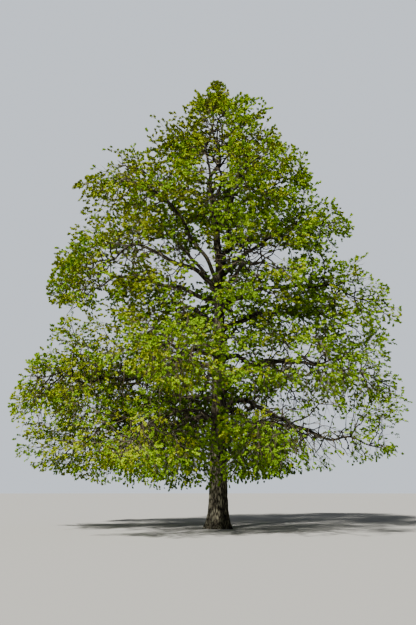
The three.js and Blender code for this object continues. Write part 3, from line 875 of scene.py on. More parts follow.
@dataclass
class Growth:
    """The growth of every mass, from its stem to its sprigs, each kept to the mass's own space."""

    plan: TreePlan
    view: PhotoView
    flatten: float = 1.25
    trunk_gap: float = 0.12
    stem_end: float = 0.016
    inner_first: float = 0.4
    low_first: float = 0.22
    # From how much sag on a mass has hanging twigs, and a bough the low branches.
    hanging_sag: float = 0.3
    skirt_sag: float = 0.5
    # Where, across the tree, a mass's middle has to lie for more branches or rising ones.
    fuller_left_of: float = -3.5
    fuller_right_of: float = 5.5
    flank: float = 4.8
    # The masses that fill the gap between the lower and the middle tier, by their middles.
    gap_height: float = 6.9
    gap_spread: float = 1.2
    gap_left_of: float = 1.5
    # How much chance there is in the growth.
    gap_stray: float = 0.1
    span_stray: float = 0.15
    end_stray: float = 0.25
    thick_stray: float = 0.2
    end_sag: float = 0.4
    stem_crook: float = 0.045
    crook_waves: Pair = (1.1, 2.4)
    spur_mass: str = "tip"
    spur_foot: float = 19.4
    spur_heading: Pair = (-5.0, 41.0)
    clumping: Clumping = field(default_factory=Clumping)
    stems: Shoots = field(init=False)
    branches: Shoots = field(init=False)
    twigs: Shoots = field(init=False)
    sprigs: Shoots = field(init=False)

    def own_space(self, points: Array, owner: Array, gap: Array) -> Array:
        """Say which points lie nearer to their own mass's centre than to any other's.

        Args:
            points: The places.
            owner: The number of each one's mass.
            gap: How far inside its space each must lie.

        Returns:
            True for each that does.
        """
        flat = np.array([1, 1, self.flatten])
        centres = np.array([mass.centre for mass in self.plan.masses]) * flat
        apart = ((points[:, None] * flat - centres[None]) ** 2).sum(-1)
        rows = np.arange(len(points))
        between = np.linalg.norm(centres[:, None] - centres[None], axis=-1)[owner]
        between[rows, owner] = 1
        margin = (apart - apart[rows, owner][:, None]) / (2 * between)
        margin[rows, owner] = np.inf
        return margin.min(axis=1) > gap

    def fits(self, points: Array, owner: Array, keys: Array, order: Order) -> Array:
        """Say which points lie in the crown, in their mass's space and clear of the trunk.

        Args:
            points: The places.
            owner: The number of each one's mass.
            keys: Their keys.
            order: How they grow, and whether they may range beyond their mass's space.

        Returns:
            True for each that does.
        """
        leader, height = self.plan.leader, points[:, 2]
        clear = np.linalg.norm((points - leader.axis(height))[:, :2], axis=1)
        off_trunk = clear > leader.thickness(np.minimum(height, leader.top)) + self.trunk_gap
        kept = order.ranging | self.own_space(points, owner, self.gap_stray * sway(keys, 31))
        return self.plan.crown.holds(points) & kept & off_trunk

    def sag(self, owner: Array) -> Array:
        """Give how much the masses with some numbers hang."""
        return np.array([mass.droop for mass in self.plan.masses])[owner]

    def from_stems(self) -> Shoots:
        """Gather the stems of all masses.

        Returns:
            The stems as curves.
        """
        facts = [(float(mass.key), mass.bare, mass.thick) for mass in self.plan.masses]
        keys, bare, thick = np.array(facts).T
        stems = self.crooked(np.array([mass.stem for mass in self.plan.masses]), keys, self.stem_crook)
        return Shoots(stems, keys, np.arange(len(keys)), bare, thick, np.full(len(keys), self.stem_end))

    def side_shoots(self, parents: Shoots, order: Order) -> Shoots:
        """Grow side shoots that stand round their parents in a spiral and open less towards the end.

        Args:
            parents: The curves that they grow on.
            order: How they grow.

        Returns:
            Those that fit, each as long as it can be.
        """
        index = np.arange(order.count)[None]
        keys = parents.keys[:, None]
        first = parents.first[:, None]
        share = first + (1 - first) * (index + order.spacing_stray * chance(keys, index, 1)) / order.count
        root = along(parents.points, share)
        way = unit(along(ways(parents.points), share))
        side = unit(np.stack([way[..., 1] + order.nudge, -way[..., 0], np.zeros_like(share)], axis=-1))
        turn = (np.radians(order.spiral * index) + order.spiral_stray * sway(keys, index, 2))[..., None]
        side = side * np.cos(turn) + np.cross(way, side) * np.sin(turn)
        opening = np.radians(mixed(*order.opening, share))[..., None]
        direction = way * np.cos(opening) + side * np.sin(opening)
        flat = (-1, 3)
        own_keys = (keys * order.key + index).ravel()
        owner = np.repeat(parents.owner, order.count)
        sag = (order.droop + order.fall) * self.sag(parents.owner)
        direction[..., 2] = direction[..., 2] * order.flatness - sag[:, None] + order.lift
        scale = np.array([mass.scale for mass in self.plan.masses])[owner]
        span = order.span * scale * (1 - order.shorten * share.ravel())
        span = span * (1 + self.span_stray * sway(own_keys, 5))
        root, direction, way = root.reshape(flat), unit(direction.reshape(flat)), way.reshape(flat)
        return self.grown(root, direction, way, span, own_keys, owner, order)

    def grown(
        self, root: Array, direction: Array, way: Array, span: Array, keys: Array, owner: Array, order: Order
    ) -> Shoots:
        """Grow shoots from their roots, each shortened until it keeps to its space.

        Args:
            root: Where they start.
            direction: Their headings there.
            way: Their parents' headings there.
            span: How long they would be.
            keys: Their keys.
            owner: The number of each one's mass.
            order: How they grow.

        Returns:
            Those that fit.
        """
        reach = np.zeros(len(root))
        open_ones = np.ones(len(root), bool)
        for attempt in range(order.tries):
            length = span * order.shrink**attempt
            end = root + direction * length[:, None]
            beyond = root + direction * (length + order.room)[:, None]
            fit = open_ones & self.fits(end, owner, keys, order) & self.fits(beyond, owner, keys, order)
            reach[fit] = length[fit]
            open_ones &= ~fit
        droop = order.droop * self.sag(owner)
        arriving = mixed(direction, way, order.turn)
        arriving[:, 2] -= droop
        end = root + direction * reach[:, None]
        end[:, 2] -= droop * reach * self.end_sag
        points = self.crooked(sweep(root, direction, end, unit(arriving), order.steps), keys, order.crook)
        thick = 1 - self.thick_stray * (1 - chance(keys, 6))
        bare = np.full(len(root), order.bare)
        made = Shoots(points, keys, owner, bare, order.thick[0] * thick, order.thick[1] * thick)
        return made.some(reach > 0)

    def crooked(self, points: Array, keys: Array, crook: float) -> Array:
        """Bend curves to and fro, as an oak's limbs are, which leaves their two ends alone.

        Args:
            points: The curves.
            keys: Their keys.
            crook: How far they bend, as a share of their length.

        Returns:
            The bent curves.
        """
        run = np.linspace(0, 1, points.shape[1])[None]
        length = np.linalg.norm(points[:, -1] - points[:, 0], axis=1)[:, None]
        bow = crook * length * np.sin(np.pi * run)
        side = unit(np.cross(points[:, -1] - points[:, 0], UP) + TINY)[:, None]
        waves = mixed(*self.crook_waves, chance(keys, 33))[:, None]
        turns = 2 * np.pi * (waves * run + chance(keys, 34)[:, None])
        bent = points + side * (bow * np.sin(turns))[..., None]
        bent[..., 2] += bow * np.cos(turns)
        return bent

    def inner_branches(self) -> Shoots:
        """Grow branches on the outer part of each bough, which fill the crown's inside and its skirt.

        Returns:
            The branches.
        """
        boughs = self.plan.boughs
        numbers = np.array([self.plan.number(bough.name) for bough in boughs])
        courses = np.array([bough.course for bough in boughs])
        thick = np.array([bough.thick for bough in boughs])
        first, tip = np.full(len(boughs), self.inner_first), np.full(len(boughs), self.plan.bough_tip)
        parents = Shoots(courses, self.stems.keys[numbers], numbers, first, thick, tip)
        low = parents.some(self.sag(parents.owner) >= self.skirt_sag)
        low.first[:] = self.low_first
        return self.side_shoots(parents, INNER).joined(self.side_shoots(low, LOW))

    def spur(self) -> Shoots:
        """Grow the one long shoot that juts out on the right, below the tip.

        Returns:
            The shoot.
        """
        owner = np.array([self.plan.number(self.spur_mass)])
        root = self.plan.leader.axis(self.spur_foot)[None]
        direction = heading(*np.radians(self.spur_heading))[None]
        keys, span = np.array([SPUR.key]), np.array([SPUR.span])
        return self.grown(root, direction, UP[None], span, keys, owner, SPUR)

    def with_ends(self, parents: Shoots, shoots: Shoots, order: Order) -> Shoots:
        """Add one more shoot at the end of each parent, in line with it.

        Args:
            parents: The curves that end in a shoot.
            shoots: Their side shoots.
            order: How they grow.

        Returns:
            The side shoots and the end shoots.
        """
        root = parents.points[:, -1]
        way = ways(parents.points)[:, -1]
        stray = np.stack([sway(parents.keys, 41, axis) for axis in range(3)], axis=-1)
        direction = unit(way + self.end_stray * stray)
        span = np.full(len(root), order.span)
        keys = parents.keys * order.key + order.count
        ends = self.grown(root, direction, way, span, keys, parents.owner, order)
        return shoots.joined(ends)

    def picked(self, chosen: tuple[Patch, ...], points: Array, keys: Array) -> Array:
        """Say which of some shoots, by a point of each, any of some patches picks."""
        pixels = self.view.pixels(points)
        return np.any([patch.picks(pixels, points[:, 1], keys) for patch in chosen], axis=0)

    def opened(self, shoots: Shoots) -> Shoots:
        """Leave out the shoots that would fill what the photograph shows open.

        Args:
            shoots: The shoots.

        Returns:
            The rest of them.
        """
        outside = self.picked(TRIMS, shoots.points[:, -1], shoots.keys)
        within = self.picked(OPENINGS + CLEARINGS, shoots.points.mean(axis=1), shoots.keys)
        return shoots.some(~(outside | within))

    def tufted(self, parents: Shoots, order: Order) -> Shoots:
        """Grow an order's side shoots and end shoots."""
        return self.with_ends(parents, self.side_shoots(parents, order), order)

    def grow_branches(self) -> None:
        """Grow the branches on the stems and on the boughs."""
        droop = self.sag(self.stems.owner)
        aside, height = np.array([mass.centre for mass in self.plan.masses]).T[[0, 2]]
        outer = (aside < self.fuller_left_of) | (aside > self.fuller_right_of)
        gaps = (abs(height - self.gap_height) < self.gap_spread) & (aside < self.gap_left_of)
        branches = self.side_shoots(self.stems, BRANCHES).joined(self.inner_branches())
        for some, order in (((droop == 0) | outer, MORE), (abs(aside) > self.flank, RISING), (gaps, FILLING)):
            branches = branches.joined(self.side_shoots(self.stems.some(some), order))
        branches = branches.joined(self.spur())
        self.branches = branches.some(~self.picked(TRIMS, branches.points[:, -1], branches.keys))

    def grow(self) -> "Growth":
        """Grow every order in turn.

        Returns:
            This growth, with its curves.
        """
        self.stems = self.from_stems()
        self.grow_branches()
        hung = self.branches.some(self.sag(self.branches.owner) >= self.hanging_sag)
        hanging = self.opened(self.side_shoots(hung, HANGING))
        twigs = self.tufted(self.branches, TWIGS)
        thick = self.picked(THICKETS, twigs.points.mean(axis=1), twigs.keys)
        twigs = self.opened(twigs.some(self.clumping.keeps(twigs, self.plan.crown) | thick))
        self.twigs = twigs.joined(hanging)
        self.sprigs = self.opened(self.tufted(twigs, SPRIGS)).joined(self.tufted(hanging, SPRIGS))
        counts = [len(order.keys) for order in (self.stems, self.branches, self.twigs, self.sprigs)]
        LOG.info("grown: %d stems, %d branches, %d twigs, %d sprigs", *counts)
        return self


def joined_mesh(name: str, corners: Array, faces: list[Array]) -> bpy.types.Mesh:
    """Make a mesh from arrays.

    Args:
        name: The mesh's name.
        corners: Rows of x, y and z.
        faces: Arrays of corner numbers, each array with faces of one size.

    Returns:
        The mesh.
    """
    mesh = bpy.data.meshes.new(name)
    mesh.vertices.add(len(corners))
    mesh.vertices.foreach_set("co", corners.astype(np.float32).ravel())
    loops = np.concatenate([part.ravel() for part in faces])
    sizes = np.concatenate([np.full(len(part), part.shape[1]) for part in faces])
    mesh.loops.add(len(loops))
    mesh.loops.foreach_set("vertex_index", loops.astype(np.int32))
    mesh.polygons.add(len(sizes))
    starts = np.concatenate([[0], np.cumsum(sizes)[:-1]])
    mesh.polygons.foreach_set("loop_start", starts.astype(np.int32))
    mesh.update(calc_edges=True)
    return mesh


def add_piece(mesh: bpy.types.Mesh, finish: Material, slot: str, nodes: list[str]) -> bpy.types.Object:
    """Put a finished piece in the scene.

    Args:
        mesh: The piece's mesh, which also gives its name.
        finish: Its material.
        slot: The record's material slot.
        nodes: The solids that it stands for.

    Returns:
        The piece.
    """
    piece = in_scene(mesh.name, mesh)
    mesh.materials.append(finish)
    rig.ride(piece, "root")
    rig.slot(piece, slot)
    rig.replaces(piece, *nodes)
    LOG.info("%s: %d faces", mesh.name, len(mesh.polygons))
    return piece


@dataclass(frozen=True)
class Nodes:
    """The nodes of a material or a backdrop, each added and fed in one call."""

    tree: bpy.types.NodeTree

    def feed(self, node: bpy.types.Node, inputs: dict[str | int, object]) -> None:
        """Give a node its inputs.

        Args:
            node: The node.
            inputs: What each input gets, by its name: a value, or another node's output.
        """
        for name, value in inputs.items():
            if isinstance(value, bpy.types.NodeSocket):
                self.tree.links.new(value, node.inputs[name])
            else:
                node.inputs[name].default_value = value

    def add(self, kind: str, out: str, inputs: dict[str | int, object], **settings: str) -> Socket:
        """Add a node.

        Args:
            kind: Its type.
            out: The output that is wanted.
            inputs: Its inputs, as feed takes them.
            **settings: What else is set on it.

        Returns:
            That output.
        """
        node = self.tree.nodes.new(f"ShaderNode{kind}")
        for name, value in settings.items():
            setattr(node, name, value)
        self.feed(node, inputs)
        return node.outputs[out]

    def ranged(self, value: Socket, low: float, high: float, most: float = 1.0) -> Socket:
        """Let a share rise from 0 while a value goes from a low to a high one."""
        inputs = {"Value": value, "From Min": low, "From Max": high, "To Max": most}
        return self.add("MapRange", "Result", inputs)

    def mixed(self, share: object, first: object, second: object, blend: str = "MIX") -> Socket:
        """Mix two colours by a share."""
        inputs = {"Factor": share, "A": first, "B": second}
        return self.add("Mix", "Result", inputs, data_type="RGBA", blend_type=blend)

    def surface(self, colour: object, roughness: float, specular: float) -> bpy.types.Node:
        """Feed the material's shader.

        Args:
            colour: A colour, or a node's output.
            roughness: How rough it is.
            specular: How strongly it glints.

        Returns:
            The shader.
        """
        shader = self.tree.nodes["Principled BSDF"]
        self.feed(shader, {"Base Color": colour, "Roughness": roughness, "Specular IOR Level": specular})
        return shader


def new_material(name: str) -> tuple[Material, Nodes]:
    """Start a material.

    Args:
        name: Its name.

    Returns:
        The material and its nodes.
    """
    made = bpy.data.materials.new(name)
    made.use_nodes = True
    return made, Nodes(made.node_tree)


@dataclass(frozen=True)
class Blotch:
    """Blotches of noise, by its scale and detail and the values between which they fade in."""

    scale: float
    detail: float
    low: float
    high: float
    most: float = 1.0

    def share(self, nodes: Nodes, place: Socket) -> Socket:
        """Give how strong the blotches are at each place."""
        noisy = nodes.add("TexNoise", "Fac", {"Vector": place, "Scale": self.scale, "Detail": self.detail})
        return nodes.ranged(noisy, self.low, self.high, self.most)


@dataclass(frozen=True)
class BarkFinish:
    """Old furrowed bark: grey-brown plates between dark crevices, paler where it weathers, with painted light and
    shade over it: pale lichen that also stands in for patches of sunlight, a darker right side away from the light,
    and darker bark in the crown's shade.
    """

    name: str = "bark"
    plate: Triple = (0.115, 0.098, 0.066)
    pale: Triple = (0.42, 0.37, 0.27)
    crevice: Triple = (0.010, 0.008, 0.005)
    # Pale lichen, made large and bright enough to stand in for painted patches of sunlight.
    lichen_and_sun_dapple: Triple = (0.68, 0.64, 0.46)
    moss: Triple = (0.12, 0.13, 0.06)
    roughness: float = 0.92
    specular: float = 0.25
    plate_size: Triple = (10.0, 10.0, 2.6)
    warp: float = 0.55
    warp_scale: float = 0.9
    warp_detail: float = 3.0
    relief: float = 0.04
    relief_strength: float = 0.8
    # How far from a plate's edge the crevice ends and the plate begins, and where the pale lichen, which also stands
    # in for painted patches of sunlight, starts.
    crevice_edge: Pair = (0.02, 0.34)
    ridge_edge: Pair = (0.1, 0.3)
    weathered: Blotch = Blotch(2.6, 6, 0.46, 0.7, 0.8)
    lichen_dapple_blotch: Blotch = Blotch(3.0, 5, 0.44, 0.58)
    mossy: Blotch = Blotch(1.3, 4, 0.52, 0.72, 0.55)
    # Painted shade of the crown on the bark: heights between which the bark turns darker, into the crown, and how
    # dark.
    crown_shade_heights: Pair = (2.2, 4.2)
    crown_shade_tone: Triple = (0.38, 0.36, 0.34)
    # Painted shade on the side away from the light: the bark darkens from this far right of the trunk's middle to this
    # far, and stays darker on everything further right.
    painted_shade_right_places: Pair = (-0.02, 0.2)
    painted_shade_right: Triple = (0.30, 0.30, 0.27)

    def plates(self, nodes: Nodes, place: Socket) -> Socket:
        """Part the bark into long bent plates.

        Args:
            nodes: The material's nodes.
            place: The place on the bark.

        Returns:
            How far each place lies from the edge of its plate.
        """
        noisy = {"Vector": place, "Scale": self.warp_scale, "Detail": self.warp_detail}
        bent = nodes.mixed(self.warp, place, nodes.add("TexNoise", "Color", noisy), "LINEAR_LIGHT")
        return nodes.add("TexVoronoi", "Distance", {"Vector": bent, "Scale": 1.0}, feature="DISTANCE_TO_EDGE")

    def colour(self, nodes: Nodes, place: Socket, edge: Socket, where: Socket) -> Socket:
        """Colour the plates and their crevices, then weather, pale lichen that also paints patches of sunlight, and
        moss over them.

        Args:
            nodes: The material's nodes.
            place: The place on the bark.
            edge: How far it lies from the edge of its plate.
            where: The place in the tree.

        Returns:
            The colour.
        """
        colour = nodes.add("ValToRGB", "Color", {"Fac": edge})
        ends = zip(colour.node.color_ramp.elements, self.crevice_edge, (self.crevice, self.plate))
        for element, position, tone in ends:
            element.position = position
            element.color = (*tone, 1)
        colour = nodes.mixed(self.weathered.share(nodes, place), colour, (*self.pale, 1))
        # Pale lichen blotches on the ridges, which also paint patches of sunlight on the bark.
        lichen_dapple_inputs = {0: self.lichen_dapple_blotch.share(nodes, where), 1: nodes.ranged(edge, *self.ridge_edge)}
        lichen_dapple = nodes.add("Math", "Value", lichen_dapple_inputs, operation="MULTIPLY")
        colour = nodes.mixed(lichen_dapple, colour, (*self.lichen_and_sun_dapple, 1))
        return nodes.mixed(self.mossy.share(nodes, where), colour, (*self.moss, 1))

    def material(self) -> Material:
        """Make the material, which reads each limb's own straightened place.

        Returns:
            The material.
        """
        made, nodes = new_material(self.name)
        own = nodes.add("Attribute", "Vector", {}, attribute_name=BARK_PLACE)
        place = nodes.add("Mapping", "Vector", {"Vector": own, "Scale": self.plate_size})
        where = nodes.add("TexCoord", "Object", {})
        edge = self.plates(nodes, place)
        colour = self.colour(nodes, place, edge, where)
        split = nodes.add("SeparateXYZ", "X", {"Vector": where})
        # Painted shade: the bark on the right, away from the light, is darker.
        painted_shade_right = nodes.ranged(split, *self.painted_shade_right_places)
        # Painted shade of the crown: the bark turns darker with height, into the crown.
        dark = nodes.ranged(split.node.outputs["Z"], *self.crown_shade_heights)
        colour = nodes.mixed(painted_shade_right, colour, (*self.painted_shade_right, 1), "MULTIPLY")
        colour = nodes.mixed(dark, colour, (*self.crown_shade_tone, 1), "MULTIPLY")
        raised = {"Height": edge, "Distance": self.relief, "Strength": self.relief_strength}
        shader = nodes.surface(colour, self.roughness, self.specular)
        nodes.feed(shader, {"Normal": nodes.add("Bump", "Normal", raised)})
        return made


@dataclass(frozen=True)
class PlainFinish:
    """A plain base colour."""

    name: str
    colour: Triple
    roughness: float = 0.7
    specular: float = 0.08

    def material(self) -> Material:
        """Make the material.

        Returns:
            The material.
        """
        made, nodes = new_material(self.name)
        nodes.surface((*self.colour, 1), self.roughness, self.specular)
        return made


class Tint(Enum):
    """The leaves' tints, from a dark green that paints the shade inside the crown to the lightest, warmest greens,
    which paint sunlight on the crown's outside, top and left as well as the young shoots' own colour.
    """

    DEEP = PlainFinish("leaf_deep_green", (0.055, 0.112, 0.004))
    GREEN = PlainFinish("leaf_green", (0.104, 0.196, 0.005))
    BRIGHT = PlainFinish("leaf_bright_green", (0.160, 0.292, 0.006))
    LIME = PlainFinish("leaf_lime", (0.245, 0.380, 0.007))
    GOLD = PlainFinish("leaf_gold", (0.262, 0.335, 0.008))
    OLIVE = PlainFinish("leaf_olive", (0.192, 0.225, 0.010))


TWIG = PlainFinish("twig", (0.14, 0.11, 0.068), 0.8, 0.2)


@dataclass(frozen=True)
class Furrows:
    """The bark's ridges and furrows: how high, wide and long, and the lumps under them."""

    height: float
    width: float
    length: float
    sunk: float = 0.6
    lump: float = 0.8
    lump_scale: float = 0.23


@dataclass
class BarkLimb:
    """One limb with its bark's relief, lofted along its course."""

    course: Array
    radius: Array
    sides: int
    rings: int
    furrows: Furrows
    seed: float = 0.0
    steep: float = 0.8

    def frames(self) -> tuple[Array, Array, Array, Array]:
        """Resample the course at even rings and give each ring its own axes.

        Returns:
            The rings' centres, their two axes across the limb, and how far along each lies.
        """
        share = np.linspace(0, 1, self.rings + 1)[None]
        centre = along(self.course[None], share)[0]
        way = ways(centre[None])[0]
        upright = np.abs(way[:, 2]).mean() > self.steep
        reference = np.array([0.0, 1.0, 0.0]) if upright else UP
        across = unit(np.cross(way, reference))
        top = np.cross(across, way)
        return centre, across, top, run_along(centre)

    def relief(self, around: Array, run: Array, radius: Array) -> Array:
        """Give the height of the bark's ridges over its furrows.

        Args:
            around: The angle of each corner round the limb.
            run: How far along the limb it lies.
            radius: The limb's radius there.

        Returns:
            The height of each corner above or below the limb's even surface.
        """
        furrows = self.furrows
        height = np.empty(len(around))
        for i, (angle, at, thick) in enumerate(zip(around, run, radius)):
            across = thick * math.cos(angle) / furrows.width, thick * math.sin(angle) / furrows.width
            place = Vector((*across, at / furrows.length + self.seed))
            ridge = 1 - 2 * abs(noise.noise(place))
            height[i] = ridge - furrows.sunk + furrows.lump * noise.noise(place * furrows.lump_scale)
        return height * furrows.height

    def shaped(self, bm: bmesh.types.BMesh) -> None:
        """Wrap a flat grid round the course, close its seam and cap its ends.

        Args:
            bm: An empty bmesh, which receives the limb.
        """
        bmesh.ops.create_grid(bm, x_segments=self.sides, y_segments=self.rings, size=0.5)
        flat = np.array([vert.co for vert in bm.verts])
        around = 2 * np.pi * (flat[:, 0] + 0.5)
        around[np.isclose(flat[:, 0], 0.5)] = 0
        ring = np.rint((flat[:, 1] + 0.5) * self.rings).astype(int)
        centre, across, top, run = self.frames()
        radius = self.radius_at(ring, around)
        height = self.relief(around, run[ring], radius)
        out = across[ring] * np.cos(around)[:, None] + top[ring] * np.sin(around)[:, None]
        corners = centre[ring] + out * (radius + height)[:, None]
        place = np.stack([radius * np.cos(around), radius * np.sin(around), run[ring] + self.seed], axis=-1)
        layer = bm.verts.layers.float_vector.new(BARK_PLACE)
        for vert, corner, own in zip(bm.verts, corners, place):
            vert.co = corner
            vert[layer] = own
        bmesh.ops.remove_doubles(bm, verts=bm.verts, dist=TINY)
        rims = [edge for edge in bm.edges if edge.is_boundary]
        bmesh.ops.holes_fill(bm, edges=rims, sides=0)
        bmesh.ops.recalc_face_normals(bm, faces=bm.faces)

    def radius_at(self, ring: Array, around: Array) -> Array:
        """Give the limb's even radius at some rings."""
        return np.interp(ring / self.rings, np.linspace(0, 1, len(self.radius)), self.radius)


@dataclass
class TrunkLimb(BarkLimb):
    """The trunk, which flares into its buttresses at the ground."""

    leader: Leader = field(default_factory=Leader)

    def radius_at(self, ring: Array, around: Array) -> Array:
        """Give the trunk's radius at some rings, with its flare."""
        height = self.course[:, 2][np.minimum(ring, len(self.course) - 1)]
        return self.leader.flared(height, around)


def smooth_shaded(mesh: bpy.types.Mesh) -> None:
    """Shade a mesh smooth."""
    mesh.polygons.foreach_set("use_smooth", np.ones(len(mesh.polygons), bool))


@dataclass
class Timber:
    """The trunk and the boughs, each with its bark's relief."""

    plan: TreePlan
    finish: Material
    trunk_sides: int = 112
    trunk_rings: int = 380
    bough_sides: int = 22
    bough_rings: int = 84
    trunk_furrows: Furrows = Furrows(0.02, 0.075, 0.34)
    bough_furrows: Furrows = Furrows(0.006, 0.05, 0.22)
    seed_step: float = 3.7
    ring_crowding: float = 1.25
    collar: float = 0.35
    collar_length: float = 0.3

    def add_trunk(self) -> None:
        """Model the trunk, from its flat cut at the ground to the topmost mass."""
        leader = self.plan.leader
        heights = leader.top * np.linspace(0, 1, self.trunk_rings + 1) ** self.ring_crowding
        axis, radius = leader.axis(heights), leader.thickness(heights)
        furrows = self.trunk_furrows
        limb = TrunkLimb(axis, radius, self.trunk_sides, self.trunk_rings, furrows, leader=leader)
        self.add(limb, "trunk")

    def bough_radius(self, bough: Bough) -> Array:
        """Give a bough's radius along its course, with the collar where it leaves the trunk.

        Args:
            bough: The bough.

        Returns:
            The radius at each point of its course.
        """
        run = run_along(bough.course)
        buried = self.plan.leader.thickness(bough.course[0, 2])
        even = mixed(bough.thick, self.plan.bough_tip, run / run[-1])
        return even * (1 + self.collar * np.exp(-np.maximum(run - buried, 0) / self.collar_length))

    def add_boughs(self) -> None:
        """Model every bough, from inside the trunk to its tip."""
        for number, bough in enumerate(self.plan.boughs):
            radius, seed = self.bough_radius(bough), self.seed_step * (number + 1)
            furrows = self.bough_furrows
            limb = BarkLimb(bough.course, radius, self.bough_sides, self.bough_rings, furrows, seed)
            self.add(limb, f"bough_{bough.name}")

    def add(self, limb: BarkLimb, node: str) -> None:
        """Turn a limb into a piece.

        Args:
            limb: The limb.
            node: The solid that it stands for.
        """
        bm = bmesh.new()
        limb.shaped(bm)
        mesh = finished(bm, f"{node}_bark")
        smooth_shaded(mesh)
        add_piece(mesh, self.finish, "bark", [node])

    def build(self) -> None:
        """Model the trunk and the boughs."""
        self.add_trunk()
        self.add_boughs()


@dataclass
class FineWood:
    """The stems, branches, twigs and sprigs: tapering tubes that end in a point."""

    growth: Growth
    bark: Material
    twig: Material
    stem_sides: int = 9
    branch_sides: int = 6
    twig_sides: int = 3
    bark_shift: float = 7.0
    steep: float = 0.9

    def tubes(self, name: str, orders: list[tuple[Shoots, int]]) -> bpy.types.Mesh:
        """Join tubes along the curves of one or more orders.

        Args:
            name: The mesh's name.
            orders: Each order's curves, with the number of sides of its tubes.

        Returns:
            One mesh.
        """
        corners, quads, ends, roots, places = [], [], [], {}, []
        total = 0
        for shoots, sides in orders:
            made, place = self.rings(shoots, sides)
            count, stations = shoots.points.shape[:2]
            size = (stations - 1) * sides + 1
            start = total + np.arange(count)[:, None, None] * size
            ring = np.arange(stations - 2)[None, :, None] * sides
            here = np.arange(sides)[None, None]
            after = (here + 1) % sides
            low, high = start + ring, start + ring + sides
            quad = np.stack([low + here, low + after, high + after, high + here], axis=-1)
            quads.append(quad.reshape(-1, 4))
            last = start[:, 0] + (stations - 2) * sides
            tip = np.broadcast_to(start[:, 0] + size - 1, (count, sides))
            ends.append(np.stack([last + here[0], last + after[0], tip], axis=-1).reshape(-1, 3))
            roots.setdefault(sides, []).append(start[:, 0] + here[0][:, ::-1])
            corners.append(made)
            places.append(place)
            total += count * size
        faces = [np.concatenate(quads), np.concatenate(ends), *(np.concatenate(r) for r in roots.values())]
        mesh = joined_mesh(name, np.concatenate(corners), faces)
        attribute = mesh.attributes.new(BARK_PLACE, "FLOAT_VECTOR", "POINT")
        attribute.data.foreach_set("vector", np.concatenate(places).astype(np.float32).ravel())
        smooth_shaded(mesh)
        return mesh

    def rings(self, shoots: Shoots, sides: int) -> tuple[Array, Array]:
        """Place the corners of tubes.

        Args:
            shoots: The curves.
            sides: How many sides each tube has.

        Returns:
            The corners, ring by ring with one more at each tip, and each one's place on the bark.
        """
        points = shoots.points
        count, stations = points.shape[:2]
        way = ways(points)
        reference = np.where(abs(way[:, :1, 2:]) > self.steep, np.array([1.0, 0.0, 0.0]), UP)
        across = unit(np.cross(way, np.broadcast_to(reference, way.shape)))
        top = np.cross(across, way)
        share = np.linspace(0, 1, stations)[None]
        radius = mixed(shoots.root_radius[:, None], shoots.end_radius[:, None], share)
        angle = 2 * np.pi * np.arange(sides) / sides
        cos, sin = np.cos(angle)[None, None, :, None], np.sin(angle)[None, None, :, None]
        out = across[:, :, None] * cos + top[:, :, None] * sin
        ring = points[:, :, None] + out * radius[:, :, None, None]
        corners = np.concatenate([ring[:, :-1].reshape(count, -1, 3), points[:, -1:]], axis=1)
        run = share * np.linalg.norm(points[:, -1] - points[:, 0], axis=1)[:, None]
        run = run + self.bark_shift * chance(shoots.keys, 8)[:, None]
        shape = (count, stations, sides)
        place = np.stack([
            np.broadcast_to(radius[:, :, None] * np.cos(angle), shape),
            np.broadcast_to(radius[:, :, None] * np.sin(angle), shape),
            np.broadcast_to(run[:, :, None], shape),
        ], axis=-1)
        tip = np.stack([np.zeros(count), np.zeros(count), run[:, -1]], axis=-1)[:, None]
        place = np.concatenate([place[:, :-1].reshape(count, -1, 3), tip], axis=1)
        return corners.reshape(-1, 3), place.reshape(-1, 3)

    def build(self) -> None:
        """Model the wood inside the masses, group by group."""
        growth, groups = self.growth, self.growth.plan.groups()
        for group in dict.fromkeys(groups):
            stems, branches, twigs, sprigs = (
                order.some(groups[order.owner] == group)
                for order in (growth.stems, growth.branches, growth.twigs, growth.sprigs)
            )
            limbs = [(stems, self.stem_sides), (branches, self.branch_sides)]
            fine = [(twigs, self.twig_sides), (sprigs, self.twig_sides)]
            solids = growth.plan.solids(group)
            add_piece(self.tubes(f"branches_{group}", limbs), self.bark, "bark", solids)
            add_piece(self.tubes(f"twigs_{group}", fine), self.twig, "foliage", solids)


